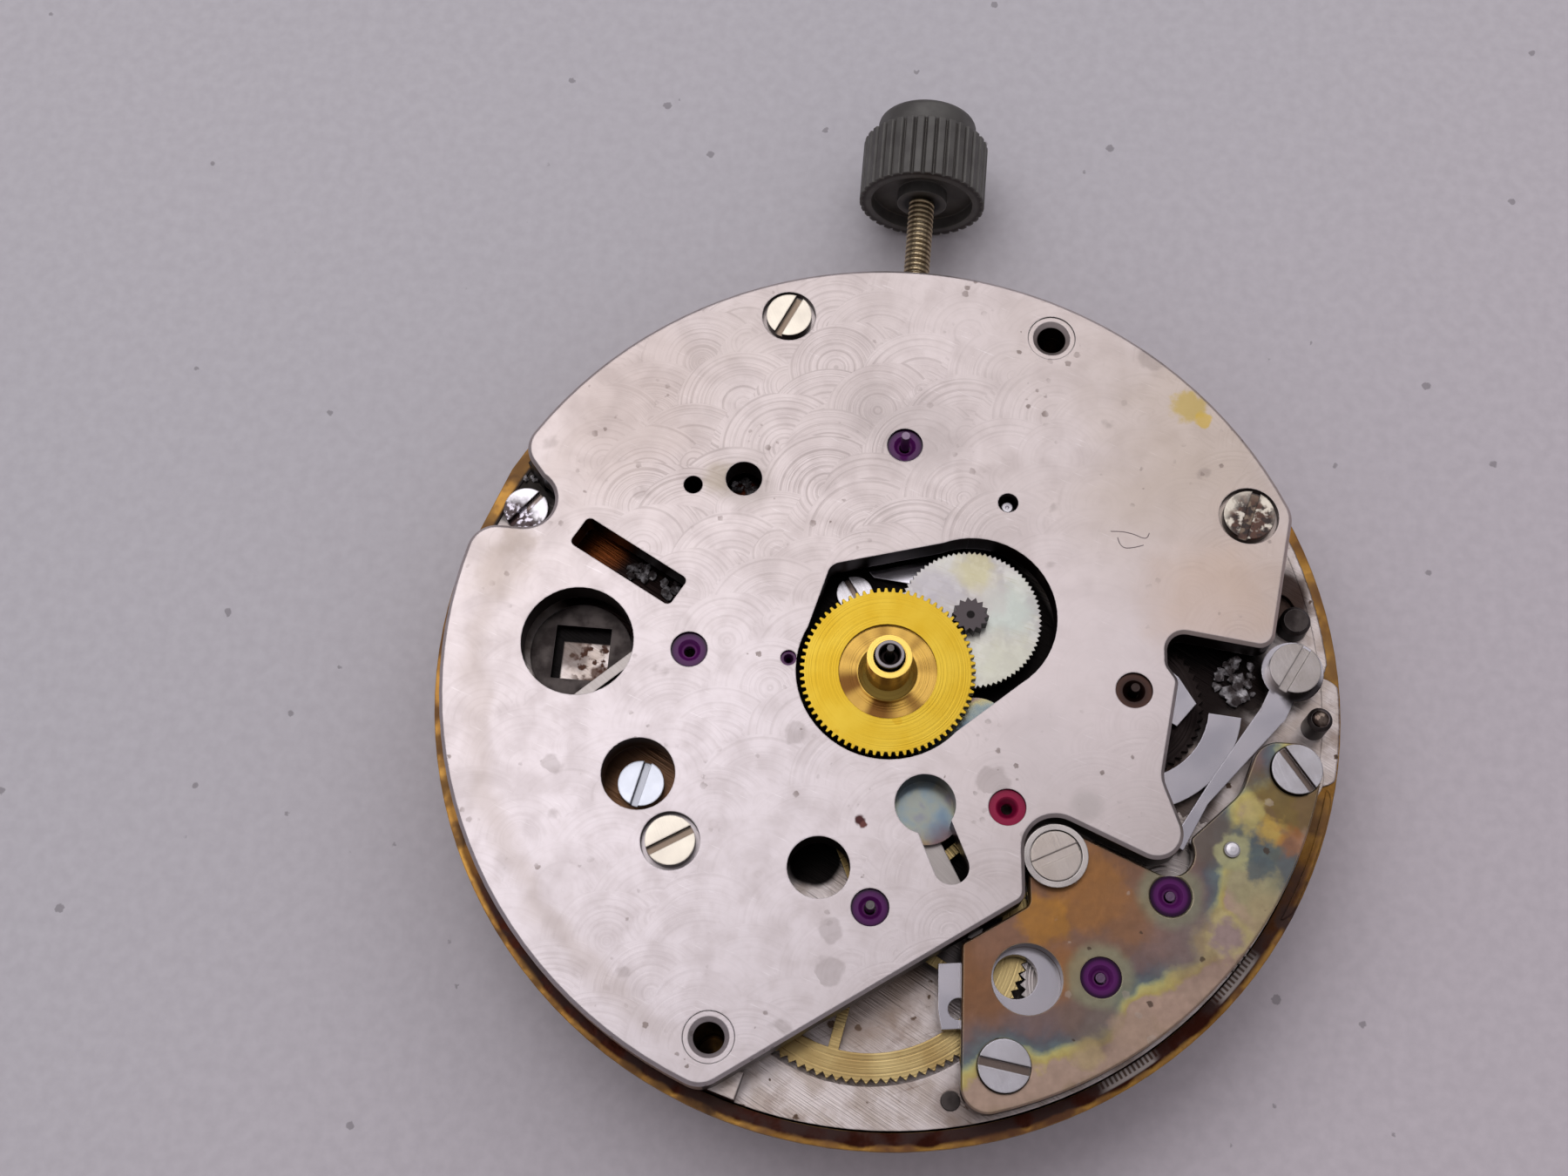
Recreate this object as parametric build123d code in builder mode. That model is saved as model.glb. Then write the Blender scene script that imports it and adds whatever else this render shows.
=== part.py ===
from build123d import *
from math import asin, atan2, cos, degrees, hypot, pi, radians, sin, sqrt
import os

os.makedirs("parts", exist_ok=True)

# The dial side faces +Z, the stem points along +Y and the hands turn on the Z axis.
# Z = 0 is the dial-side face of the dial-side plate. All lengths are in millimetres.

# Plates, from the dial side down
plate_radius = 15.0
plate_thickness = 1.0
plate_bevel = 0.12
mechanism_gap = 0.75
module_radius = 14.8
module_thickness = 1.0
module_rim_width = 0.9
main_thickness = 2.25
train_gap = 1.0
bridge_thickness = 0.9
flange_radius = 15.44
flange_thickness = 0.3
flange_drop = 0.1
rim_gap = 0.05

# Clearances shared by the whole movement
seat_gap = 0.01
turn_gap = 0.03
level_gap = 0.05
overrun = 2.0

module_top = -(plate_thickness + mechanism_gap)
module_bottom = module_top - module_thickness
main_bottom = module_bottom - main_thickness
bridge_top = main_bottom - train_gap
rest_level = bridge_top - bridge_thickness
rim_inner_radius = module_radius + rim_gap
flange_top = module_top - flange_drop

upright = (Align.CENTER, Align.CENTER, Align.MIN)


def polar(radius, angle, centre=(0, 0)):
    """A point at a distance and an angle in degrees from a centre."""
    return (centre[0] + radius * cos(radians(angle)), centre[1] + radius * sin(radians(angle)))


def heading(start, end):
    """The angle in degrees from one point to another."""
    return degrees(atan2(end[1] - start[1], end[0] - start[0]))


def distance(start, end):
    return hypot(end[0] - start[0], end[1] - start[1])


def crossing(first, first_reach, second, second_reach, side):
    """The point at two given reaches from two points, left (side 1) or right (side -1) of their line."""
    span = distance(first, second)
    along = (first_reach**2 - second_reach**2 + span**2) / (2 * span)
    off = side * sqrt(first_reach**2 - along**2)
    direction = heading(first, second)
    foot = polar(along, direction, first)
    return polar(off, direction + 90, foot)


def on_plate(shares):
    """Points given as shares of the dial-side plate's radius."""
    return [(x * plate_radius, y * plate_radius) for x, y in shares]


# Teeth: a pointed tooth has one tip and one root point, a flat one has two of each
addendum_share = 0.8
dedendum_share = 1.0
tip_width_share = 0.14
root_width_share = 0.30


def gear_face(teeth, module, turn=0, flat=False, place=(0, 0)):
    """A toothed disc's outline, with a tooth at the angle turn."""
    pitch_radius = teeth * module / 2
    tip = pitch_radius + addendum_share * module
    root = pitch_radius - dedendum_share * module
    if flat:
        corners = [(-root_width_share, root), (-tip_width_share, tip), (tip_width_share, tip),
                   (root_width_share, root)]
    else:
        corners = [(-0.5, root), (0, tip)]
    points = [polar(radius, turn + 360 * (number + share) / teeth, place)
              for number in range(teeth) for share, radius in corners]
    with BuildSketch(mode=Mode.PRIVATE) as face:
        with BuildLine():
            Polyline(*points, close=True)
        make_face()
    return face.sketch


def mesh_turn(teeth, turn, place, next_teeth, next_place):
    """The turn that puts the next gear's teeth in the first gear's gaps."""
    direction = heading(place, next_place)
    past = ((direction - turn) * teeth / 360) % 1
    return direction + 180 + (past - 0.5) * 360 / next_teeth


def rod(place, radius, bottom, top, mode=Mode.ADD):
    """An upright cylinder between two levels, added to or cut from the piece being made."""
    with Locations((place[0], place[1], bottom)):
        Cylinder(radius, top - bottom, align=upright, mode=mode)


def cone(place, bottom_radius, top_radius, bottom, top, mode=Mode.ADD):
    with Locations((place[0], place[1], bottom)):
        Cone(bottom_radius, top_radius, top - bottom, align=upright, mode=mode)


def corner_face(corners, radii):
    """A closed outline through corners, each rounded by its own radius."""
    with BuildSketch(mode=Mode.PRIVATE) as face:
        with BuildLine():
            FilletPolyline(*corners, radius=radii, close=True)
        make_face()
    return face.sketch


def bar_face(start, end, width):
    """A bar with round ends between two points."""
    with BuildSketch(mode=Mode.PRIVATE) as face:
        with Locations(Location((*polar(distance(start, end) / 2, heading(start, end), start), 0),
                                (0, 0, heading(start, end)))):
            SlotCenterToCenter(distance(start, end), width)
    return face.sketch


def disc_face(place, radius):
    with BuildSketch(mode=Mode.PRIVATE) as face:
        with Locations(place):
            Circle(radius)
    return face.sketch


def slab(face, bottom, top, mode=Mode.ADD):
    """A flat outline raised between two levels, added to or cut from the piece being made."""
    extrude(Plane.XY.offset(bottom) * face, amount=top - bottom, mode=mode)


# Screws: the slot is cut across the head
slot_width_share = 0.17
slot_depth_share = 0.45


def screw(place, head_radius, head_top, head_height, shank_radius, shank_bottom, slot_angle):
    rod(place, head_radius, head_top - head_height, head_top)
    rod(place, shank_radius, shank_bottom, head_top - head_height)
    slot_depth = slot_depth_share * head_height
    with Locations(Location((place[0], place[1], head_top), (0, 0, slot_angle))):
        Box(2 * head_radius + 2 * seat_gap, 2 * slot_width_share * head_radius, 2 * slot_depth,
            mode=Mode.SUBTRACT)


jewel_sink_share = 0.62
jewel_sink_depth_share = 0.4


def jewel(place, radius, hole_radius, bottom, top, sink_up=True):
    """A drilled jewel with its oil sink on the outer side."""
    depth = jewel_sink_depth_share * (top - bottom)
    sink = jewel_sink_share * radius
    rod(place, radius, bottom, top)
    if sink_up:
        cone(place, hole_radius, sink, top - depth, top, Mode.SUBTRACT)
    else:
        cone(place, sink, hole_radius, bottom, bottom + depth, Mode.SUBTRACT)
    rod(place, hole_radius, bottom, top, Mode.SUBTRACT)


# Motion work: hour wheel 12 times slower than the cannon pinion
hour_teeth = 72
minute_leaves = 14
minute_teeth = 84
cannon_teeth = 36
hour_module = 0.08
motion_distance = hour_module * (hour_teeth + minute_leaves) / 2
minute_module = 2 * motion_distance / (minute_teeth + cannon_teeth)
minute_direction = 40
centre = (0, 0)
minute_place = polar(motion_distance, minute_direction)

hour_disc_top = -0.10
hour_disc_thickness = 0.30
hour_pipe_radius = 0.75
hour_pipe_top = 1.48
hour_dish_radius = 1.65
hour_dish_depth = 0.12
minute_wheel_top = -0.56
minute_wheel_thickness = 0.25
cannon_radius = 0.50
cannon_seat_radius = 0.48
cannon_seat_bottom = hour_pipe_top + turn_gap
cannon_top = 1.74
centre_tube_radius = 0.29
centre_tube_top = 1.40
runner_arbor_radius = 0.15
runner_tip_radius = 0.12
runner_taper_length = 0.8
runner_seat_bottom = cannon_top + turn_gap
runner_top = 2.40

# Sub-dial arbors
small_seconds_distance = 8.0
counter_distance = 8.2
fourth_place = (0, -small_seconds_distance)
minute_counter_place = (0, counter_distance)
hour_counter_place = (counter_distance, 0)
counter_pivot_radius = 0.16
hand_seat_radius = 0.15
hand_seat_bottom = turn_gap
counter_arbor_radius = 0.28
jewel_radius = 0.61
small_jewel_radius = 0.26
jewel_thickness = 0.45
jewel_drop = 0.12
jewel_hole_radius = counter_pivot_radius + turn_gap
minute_counter_pivot_top = 0.80
hour_counter_pivot_top = 0.30
small_seconds_pivot_top = 0.35
minute_counter_teeth = 50
hour_counter_teeth = 50
counter_module = 0.1
counter_wheel_thickness = 0.15
counter_wheel_bottom = module_top + level_gap
counter_arbor_bottom = module_bottom + level_gap

# Reduction wheels under the stained bridge, driven by the large brass wheel
brass_teeth = 104
first_reduction_teeth = 47
brass_module = 0.1017
brass_thickness = 0.18
recess_floor = module_top - 0.6 * module_thickness
brass_top = module_top - level_gap
brass_spokes = 5
brass_spoke_turn = -100.7
spoke_width = 0.35
brass_rim_width = 0.9
brass_hub_radius = 1.1
first_reduction_direction = -11.34
first_reduction_place = polar(brass_module * (brass_teeth + first_reduction_teeth) / 2,
                              first_reduction_direction, fourth_place)
first_reduction_leaves = 11
second_reduction_teeth = 60
second_module = 0.1
second_reduction_direction = 52.8
second_reduction_place = polar(second_module * (first_reduction_leaves + second_reduction_teeth) / 2,
                               second_reduction_direction, first_reduction_place)
second_wheel_bottom = module_top + level_gap
second_wheel_thickness = 0.2
reduction_arbor_radius = 0.25

# Stained bridge
stained_drop = 0.55
stained_thickness = 0.6
stained_radius = 14.7
stained_top = -stained_drop
stained_bottom = stained_top - stained_thickness
stained_jewel_radius = 0.66
stained_window_radius = 1.15

# Outline of the dial-side plate where it is cut away, clockwise from the rim near the stem side
cutaway_shares = [(0.906, 0.547), (0.852, 0.121), (0.615, 0.148), (0.619, 0.067), (0.645, 0.033),
                  (0.617, -0.193), (0.717, -0.425), (0.313, -0.264), (0.331, -0.485), (-0.323, -0.947),
                  (-0.34, -1.2), (1.2, -1.2), (1.2, 0.547)]
cutaway_radii_shares = [0, 0.037, 0.040, 0.027, 0.027, 0.067, 0.060, 0.070, 0.033, 0, 0, 0, 0]
window_corner_shares = [(0.16, 0.329), (-0.147, 0.240), (-0.203, 0.02), (0.153, -0.135), (0.303, 0)]
window_corner_radii_shares = [0, 0.033, 0, 0, 0]
window_centre_share = (0.183, 0.143)
centre_window_radius = 3.08
minute_window_radius = 2.81
notch_centre_share = (-0.857, 0.340)
notch_radius = 1.0
notch_corner_shares = [(-0.825, 0.398), (-0.90, 0.487), (-1.04, 0.487), (-1.04, 0.273), (-0.857, 0.273)]
rim_corner_radius = 1.0

# Openings and holes of the dial-side plate
slot_place = on_plate([(-0.605, 0.209)])[0]
slot_length = 4.15
slot_width = 1.15
slot_corner_radius = 0.2
slot_angle = -28.7
socket_hole_place = on_plate([(-0.698, 0.01)])[0]
socket_hole_radius = 1.9
gilt_hole_place = on_plate([(-0.528, -0.283)])[0]
gilt_hole_radius = 1.225
disc_hole_place = on_plate([(-0.117, -0.456)])[0]
disc_hole_radius = 1.025
keyhole_place, keyhole_tail_place = on_plate([(0.103, -0.297), (0.168, -0.431)])
keyhole_radius = 1.0
keyhole_tail_radius = 0.58
small_hole_place, tool_hole_place, pin_hole_place = on_plate([(-0.478, 0.407), (-0.363, 0.432), (0.245, 0.423)])
small_hole_radius = 0.33
tool_hole_radius = 0.63
pin_hole_radius = 0.35
spare_jewel_place, small_jewel_place, red_jewel_place = on_plate([(-0.446, 0.011), (-0.223, 0.01), (0.281, -0.289)])
small_pivot_radius = 0.08

# Fasteners
plate_screw_places = on_plate([(-0.296, 0.855), (-0.442, -0.426), (0.793, 0.437)])
plate_screw_radii = [0.80, 0.825, 0.875]
plate_screw_angles = [66, 32, 75]
counterbore_gap = 0.15
screw_sink = 0.35
screw_head_height = 0.45
screw_shank_radius = 0.4
pillar_radius = 1.25
low_screw_radius = 0.775
low_screw_places = [gilt_hole_place, on_plate([(-0.869, 0.349)])[0]]
low_screw_angles = [78, 52]
low_screw_top = module_top + 0.6 * mechanism_gap
window_screw_place = on_plate([(-0.088, 0.205)])[0]
window_screw_radius = 0.62
eyelet_places = on_plate([(0.325, 0.849), (-0.317, -0.836)])
eyelet_radius = 0.825
eyelet_bore_radius = 0.5
eyelet_wall_drop = 0.04
stained_screw_places = on_plate([(0.306, -0.838), (0.912, -0.143)])
stained_screw_radius = 0.84
stained_screw_angles = [-8, -52]
sleeve_place = on_plate([(0.393, -0.383)])[0]
sleeve_radius = 1.05
sleeve_top = -0.25
sleeve_shank_radius = 0.6
sleeve_floor = 0.1
sleeve_screw_radius = 0.825

# Levers and springs of the chronograph work
reset_lever_inner_radius = 2.7
reset_lever_outer_radius = 3.8
reset_lever_thickness = 0.2
lever_top = module_top + counter_wheel_thickness + reset_lever_thickness + 2.4 * level_gap
reset_lever_start = -158
reset_lever_end = -4
reset_pivot_radius = 0.75
strip_thickness = 0.14
strip_bottom = lever_top + level_gap
spring_screw_place = on_plate([(0.910, 0.096)])[0]
spring_screw_radius = 0.865
spring_foot_radius = 1.05
strip_shares = [(0.843, 0.011), (0.895, -0.017), (0.727, -0.225), (0.675, -0.335), (0.648, -0.318), (0.735, -0.165)]
post_place, black_post_place, edge_pin_place = on_plate([(0.966, -0.019), (0.915, 0.217), (0.203, -0.910)])
post_radius = 0.42
black_post_radius = 0.52
edge_pin_radius = 0.3
hammer_shares = [(0.656, 0.067), (0.698, 0.007), (0.656, -0.049), (0.613, -0.027), (0.587, 0.033),
                 (0.507, 0.093), (0.437, 0.225), (0.495, 0.250), (0.573, 0.127)]
hammer_pivot_place = on_plate([(0.467, 0.237)])[0]
hammer_boss_radius = 0.5
stud_radius = 0.22
cam_radius = 0.42
cam_offset = 0.12
block_corner_shares = [(0.157, -0.627), (0.268, -0.613), (0.28, -0.753), (0.173, -0.767), (0.163, -0.727)]
block_hole_place, block_pivot_place, block_ring_place, block_eye_place = on_plate([
    (0.207, -0.72), (0.25, -0.667), (0.346, -0.637), (0.324, -0.641)])
block_hole_radius = 0.35
block_ring_radius = 1.45
block_eye_radius = 0.72
block_arm_width = 0.8
block_thickness = 0.4

# Levers seen through the dial-side plate's openings
link_ends = on_plate([(0.10, -0.33), (0.225, -0.543)])
link_width = 0.7
link_pivot_place = on_plate([(0.193, -0.487)])[0]
link_thickness = 0.2
cover_ends = on_plate([(0.207, -0.107), (0.107, -0.293)])
cover_width = 2.4
cover_thickness = 0.18
link_top = -(plate_thickness + cover_thickness + level_gap)
socket_ring_radius = 1.75
socket_square = 1.9
socket_ring_thickness = 0.35
jumper_bar_ends = on_plate([(-0.545, 0.04), (-0.735, -0.14)])
jumper_bar_width = 0.35
jumper_bar_thickness = 0.18
jumper_shares = [(-0.047, 0.252), (0.153, 0.233), (0.22, 0.307), (0.173, 0.42), (0.153, 0.413), (0.16, 0.327),
                 (-0.06, 0.265)]
jumper_thickness = 0.2

# Going train on the bridge side: 60 turns of the fourth wheel make one of the centre wheel
centre_teeth = 64
third_leaves = 8
centre_module = 0.125
third_teeth = 60
fourth_leaves = 8
third_module = 0.11
fourth_teeth = 70
escape_leaves = 7
fourth_module = 0.08
barrel_teeth = 72
centre_leaves = 12
barrel_module = 0.15
barrel_direction = 150
escape_direction = -20
third_place = crossing(centre, centre_module * (centre_teeth + third_leaves) / 2,
                       fourth_place, third_module * (third_teeth + fourth_leaves) / 2, -1)
escape_place = polar(fourth_module * (fourth_teeth + escape_leaves) / 2, escape_direction, fourth_place)
barrel_place = polar(barrel_module * (barrel_teeth + centre_leaves) / 2, barrel_direction)

train_wheel_thickness = 0.2
centre_wheel_top = main_bottom - 0.15 * train_gap
third_wheel_top = main_bottom - 0.55 * train_gap
escape_wheel_top = main_bottom - 0.45 * train_gap
escape_wheel_thickness = 0.15
pinion_overlap = 0.06
train_arbor_radius = 0.16
train_pivot_radius = 0.10
train_pivot_depth = 0.30
train_jewel_radius = 0.55
train_jewel_thickness = 0.4
centre_pinion_height = 0.4
centre_pinion_top = main_bottom + centre_pinion_height
centre_pocket_radius = 1.25

barrel_height = 1.65
barrel_top = main_bottom + barrel_height
barrel_radius = 5.1
barrel_tooth_thickness = 0.3
barrel_arbor_radius = 0.6
barrel_pivot_radius = 0.35
barrel_pivot_length = 0.3
ratchet_square = 0.8
pocket_gap = 0.15

# The stem's axis, and the level of the winding wheels just under the winding pinion
stem_height = 0.7
stem_level = main_bottom + stem_height

# Winding work: crown wheel and ratchet wheel between the main plate and the barrel bridge
winding_module = 0.2
ratchet_teeth = 50
crown_wheel_teeth = 30
winding_leaves = 12
ratchet_thickness = 0.25
winding_pinion_radius = winding_module * (winding_leaves / 2 + addendum_share)
ratchet_top = stem_level - winding_pinion_radius - level_gap
winding_distance = winding_module * (ratchet_teeth + crown_wheel_teeth) / 2
crown_wheel_place = (0, barrel_place[1] + sqrt(winding_distance**2 - barrel_place[0] ** 2))
core_radius = 1.0
core_flange_radius = 1.3
core_flange_thickness = 0.15
click_pivot_place = polar(winding_distance * 0.8, 112, barrel_place)
click_arm_width = 0.4
click_tip_place = polar(winding_module * (ratchet_teeth / 2 + 1) + click_arm_width, 98, barrel_place)
click_spring_foot_place = polar(winding_distance * 0.79, 135, barrel_place)
click_spring_foot_radius = 0.35
click_spring_tip_place = polar(winding_distance * 0.75, 120, barrel_place)
click_boss_radius = 0.6
click_pivot_radius = 0.25
click_spring_width = 0.16

# Stem and keyless work
stem_pull = 0.8
crown_wheel_rim = crown_wheel_place[1] + winding_module * crown_wheel_teeth / 2
winding_pinion_length = 0.7
winding_overlap = 0.25
winding_pinion_start = crown_wheel_rim - winding_overlap
winding_pinion_bore = 0.5
stem_round_radius = 0.47
stem_square = 0.66
stem_shoulder_radius = 0.6
stem_groove_radius = 0.33
stem_groove_width = 0.5
stem_pilot_radius = 0.25
stem_pilot_length = 0.95
stem_square_length = 5.05
stem_square_start = winding_pinion_start - stem_square_length
stem_thread_radius = 0.45
stem_thread_start = 15.25
stem_thread_depth = 1.2
winding_side_gap = 0.2
shoulder_start = winding_pinion_start + winding_pinion_length + winding_side_gap
stem_groove_distance = 0.75
groove_middle = shoulder_start + stem_groove_distance
clutch_radius = 0.85
clutch_groove_radius = 0.5
clutch_length = 2.3
clutch_gap = 0.1
clutch_end = winding_pinion_start - clutch_gap
clutch_start = clutch_end - clutch_length
clutch_travel = 0.6
clutch_groove_distance = 1.3
clutch_groove_middle = clutch_end - clutch_groove_distance
lever_pin_radius = 0.2
keyless_depth = 0.5
keyless_floor = module_bottom - keyless_depth
keyless_lever_thickness = 0.25
keyless_lever_bottom = keyless_floor + level_gap
keyless_pivot_distance = 2.4
setting_pivot_lead = 0.1
setting_pivot_place = (keyless_pivot_distance, groove_middle + setting_pivot_lead)
yoke_pivot_place = (-keyless_pivot_distance, clutch_groove_middle - clutch_travel / 2)
keyless_boss_radius = 0.65
keyless_arm_width = 0.6
keyless_stud_radius = 0.3
keyless_corner_shares = [(-0.22, 0.62), (0.22, 0.62), (0.22, 0.94), (0.03, 0.975), (-0.05, 0.975),
                         (-0.22, 0.88)]

# Setting wheels under the lower plate
setting_module = 0.1
setting_teeth = 26
idler_teeth = 32
minute_setting_teeth = 30
setting_wheel_place = (0, clutch_start - clutch_travel - setting_module * (setting_teeth / 2 + 1) - level_gap)
idler_place = crossing(setting_wheel_place, setting_module * (setting_teeth + idler_teeth) / 2,
                       minute_place, setting_module * (idler_teeth + minute_setting_teeth) / 2, 1)
setting_wheel_thickness = 0.2
setting_wheel_top = stem_level + clutch_radius - level_gap * 2
setting_floor = setting_wheel_top - setting_wheel_thickness - 2 * level_gap
setting_stud_radius = 0.4
minute_arbor_radius = 0.25

# Crown
crown_start = 20.2
crown_ribs = 36
crown_radius = 2.4
crown_rib_depth = 0.14
crown_grip_length = 2.45
crown_cap_radius = 1.9
crown_cap_length = 1.15
crown_recess_radius = 1.95
crown_hub_radius = 0.95
crown_recess_depth = 0.5
crown_rounding = 0.3

# Escapement and balance
escape_teeth = 15
escape_radius = 2.3
escape_rim_radius = 1.75
escape_rim_width = 0.28
escape_hub_radius = 0.55
balance_place = on_plate([(0.507, -0.400)])[0]
balance_radius = 4.2
balance_rim_width = 0.6
balance_rim_thickness = 0.25
balance_arms = 3
balance_arm_width = 0.45
balance_hub_radius = 0.75
staff_radius = 0.2
roller_radius = 0.8
roller_thickness = 0.1
impulse_distance = 0.5
impulse_radius = 0.08
balance_direction = heading(escape_place, balance_place)
pallet_reach = escape_radius / cos(radians(30))
pallet_place = polar(pallet_reach, balance_direction, escape_place)
pallet_arm_width = 0.3
fork_end_radius = 0.3
balance_rim_top = bridge_top - level_gap
hairspring_turns = 4
hairspring_inner_radius = 0.6
hairspring_outer_radius = 2.5
hairspring_width = 0.05
hairspring_height = 0.08
hairspring_steps = 16
hairspring_top = balance_rim_top - balance_rim_thickness - level_gap

# Bridges
cock_foot_place = on_plate([(0.707, 0.06)])[0]
cock_foot_radius = 1.7
cock_width = 2.2
cock_arm_top = hairspring_top - hairspring_height - level_gap
cock_head_radius = 1.3
pallet_foot_place = on_plate([(0.42, -0.693)])[0]
pallet_foot_radius = 0.7
pallet_bridge_width = 1.1
pallet_bridge_top = escape_wheel_top - escape_wheel_thickness - 2 * level_gap
bridge_reach = 14.4
bridge_foot_width = 1.5
barrel_bridge_shares = [(1.067, 0.533), (0.253, 0.147), (0.2, -0.2), (-0.2, -0.213), (-1.067, -0.467),
                        (-1.067, 1.067), (1.067, 1.067)]
barrel_bridge_radii_shares = [0, 0.06, 0.1, 0.06, 0, 0, 0]
barrel_foot_start = 42
barrel_foot_sweep = 158
bridge_window_radius = 1.7
runner_teeth = 50
runner_module = 0.1
runner_recess_depth = 0.4
runner_recess_radius = 2.75
runner_wheel_thickness = 0.2
train_bridge_shares = [(-0.13, -0.235), (0.0, -0.235), (0.08, -0.43), (0.24, -0.535), (0.26, -0.65),
                       (0.13, -0.92), (-0.37, -0.86), (-0.64, -0.63), (-0.57, -0.5), (-0.2, -0.46)]
train_bridge_radii_shares = [0.04, 0.04, 0.05, 0.05, 0.05, 0.05, 0.06, 0.04, 0.04, 0.05]
train_foot_places = on_plate([(-0.53, -0.63), (0.02, -0.86)])
train_foot_radius = 0.9
back_screw_radius = 0.75
back_screw_head = 0.35
barrel_screw_places = [polar(bridge_reach - bridge_foot_width / 2, angle) for angle in (58, 128, 188)]

# Remaining sizes of the dial side
screw_reach = 0.5
window_screw_angle = -55
spring_screw_angle = 62
sleeve_screw_angle = 28
eyelet_wall = 0.2
eyelet_sink = 0.15
eyelet_bore_depth = 1.3
flange_flat_distance = 15.31
flange_flat_direction = 160.9
stem_notch_width = 1.4
stem_notch_depth = 0.5
post_pin_radius = 0.25
post_seat = 0.4
post_top = -0.6
post_round = 0.12
black_post_top = -0.95
stained_corner_shares = [(0.203, -0.587), (0.343, -0.491), (0.326, -0.282), (0.740, -0.447), (0.683, -0.317),
                         (0.793, -0.203), (0.833, -0.080), (1.067, -0.080), (1.133, -1.133), (0.230, -1.133)]
stained_corner_radii_shares = [0.010, 0.020, 0.058, 0.053, 0.016, 0.100, 0.060, 0, 0, 0]
stained_corner_radius = 0.85
stained_sink = 0.25
stained_window_place, bridge_pin_place = on_plate([(0.346, -0.651), (0.774, -0.333)])
bridge_pin_radius = 0.25
strip_fold_place = on_plate([(0.869, -0.003)])[0]
strip_fold_width = 0.9
hour_collar_radius = 1.0
hour_collar_height = 0.15
cannon_collar_radius = 0.6

# Remaining sizes of the bridge side
train_bridge_thickness = 0.75
train_bridge_top = rest_level + train_bridge_thickness
train_hub_radius = 0.7
train_spokes = 4
train_spoke_width = 0.4
train_rim_width = 0.5
centre_hub_radius = 1.2
centre_rim_radius = centre_module * (centre_teeth / 2 - 1) - train_rim_width
third_rim_radius = third_module * (third_teeth / 2 - 1) - train_rim_width
fourth_rim_radius = fourth_module * (fourth_teeth / 2 - 1) - train_rim_width
pallet_bridge_thickness = 0.2
pallet_bridge_bottom = pallet_bridge_top - pallet_bridge_thickness
pallet_arm_share = 0.62
pallet_arm_angle = 105
roller_bottom = pallet_bridge_bottom + level_gap
hairspring_stud_radius = 0.2
barrel_bottom = main_bottom + level_gap
clutch_teeth = 12
clutch_tooth_depth = 0.2
clutch_tooth_gap = 0.18
bridge_screw_turns = [20, 75, 130, 50, 100, 15]


def plate_sizes(shares):
    return [share * plate_radius for share in shares]


def wheel_face(face, rim_radius, hub_radius, spokes, width, place, spoke_turn=0):
    """A toothed face crossed out to a rim, a hub and straight spokes."""
    opening = disc_face(place, rim_radius) - disc_face(place, hub_radius)
    for number in range(spokes):
        end = polar(rim_radius + width, spoke_turn + 360 * number / spokes, place)
        opening = opening - bar_face(place, end, width)
    return face - opening


def across(level_y):
    """A plane square to the stem, facing outwards along it."""
    return Plane(origin=(0, level_y, stem_level), x_dir=(1, 0, 0), z_dir=(0, 1, 0))


def turned(radius, start, end, mode=Mode.ADD):
    """A cylinder on the stem's axis."""
    extrude(across(start) * disc_face(centre, radius), amount=end - start, mode=mode)


def back_screw(place, slot_turn):
    """A screw of the bridge side, its head sunk in the bridge and its shank in the main plate."""
    rod(place, back_screw_radius, rest_level + level_gap, rest_level + back_screw_head)
    rod(place, screw_shank_radius, rest_level + back_screw_head, main_bottom + back_screw_radius)
    with Locations(Location((place[0], place[1], rest_level + level_gap), (0, 0, slot_turn))):
        Box(2 * back_screw_radius + 2 * seat_gap, 2 * slot_width_share * back_screw_radius,
            slot_depth_share * back_screw_head, mode=Mode.SUBTRACT)


def back_screw_hole(place):
    rod(place, back_screw_radius + turn_gap, rest_level, rest_level + back_screw_head, Mode.SUBTRACT)
    rod(place, screw_shank_radius + seat_gap, rest_level, main_bottom + back_screw_radius + level_gap, Mode.SUBTRACT)


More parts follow.
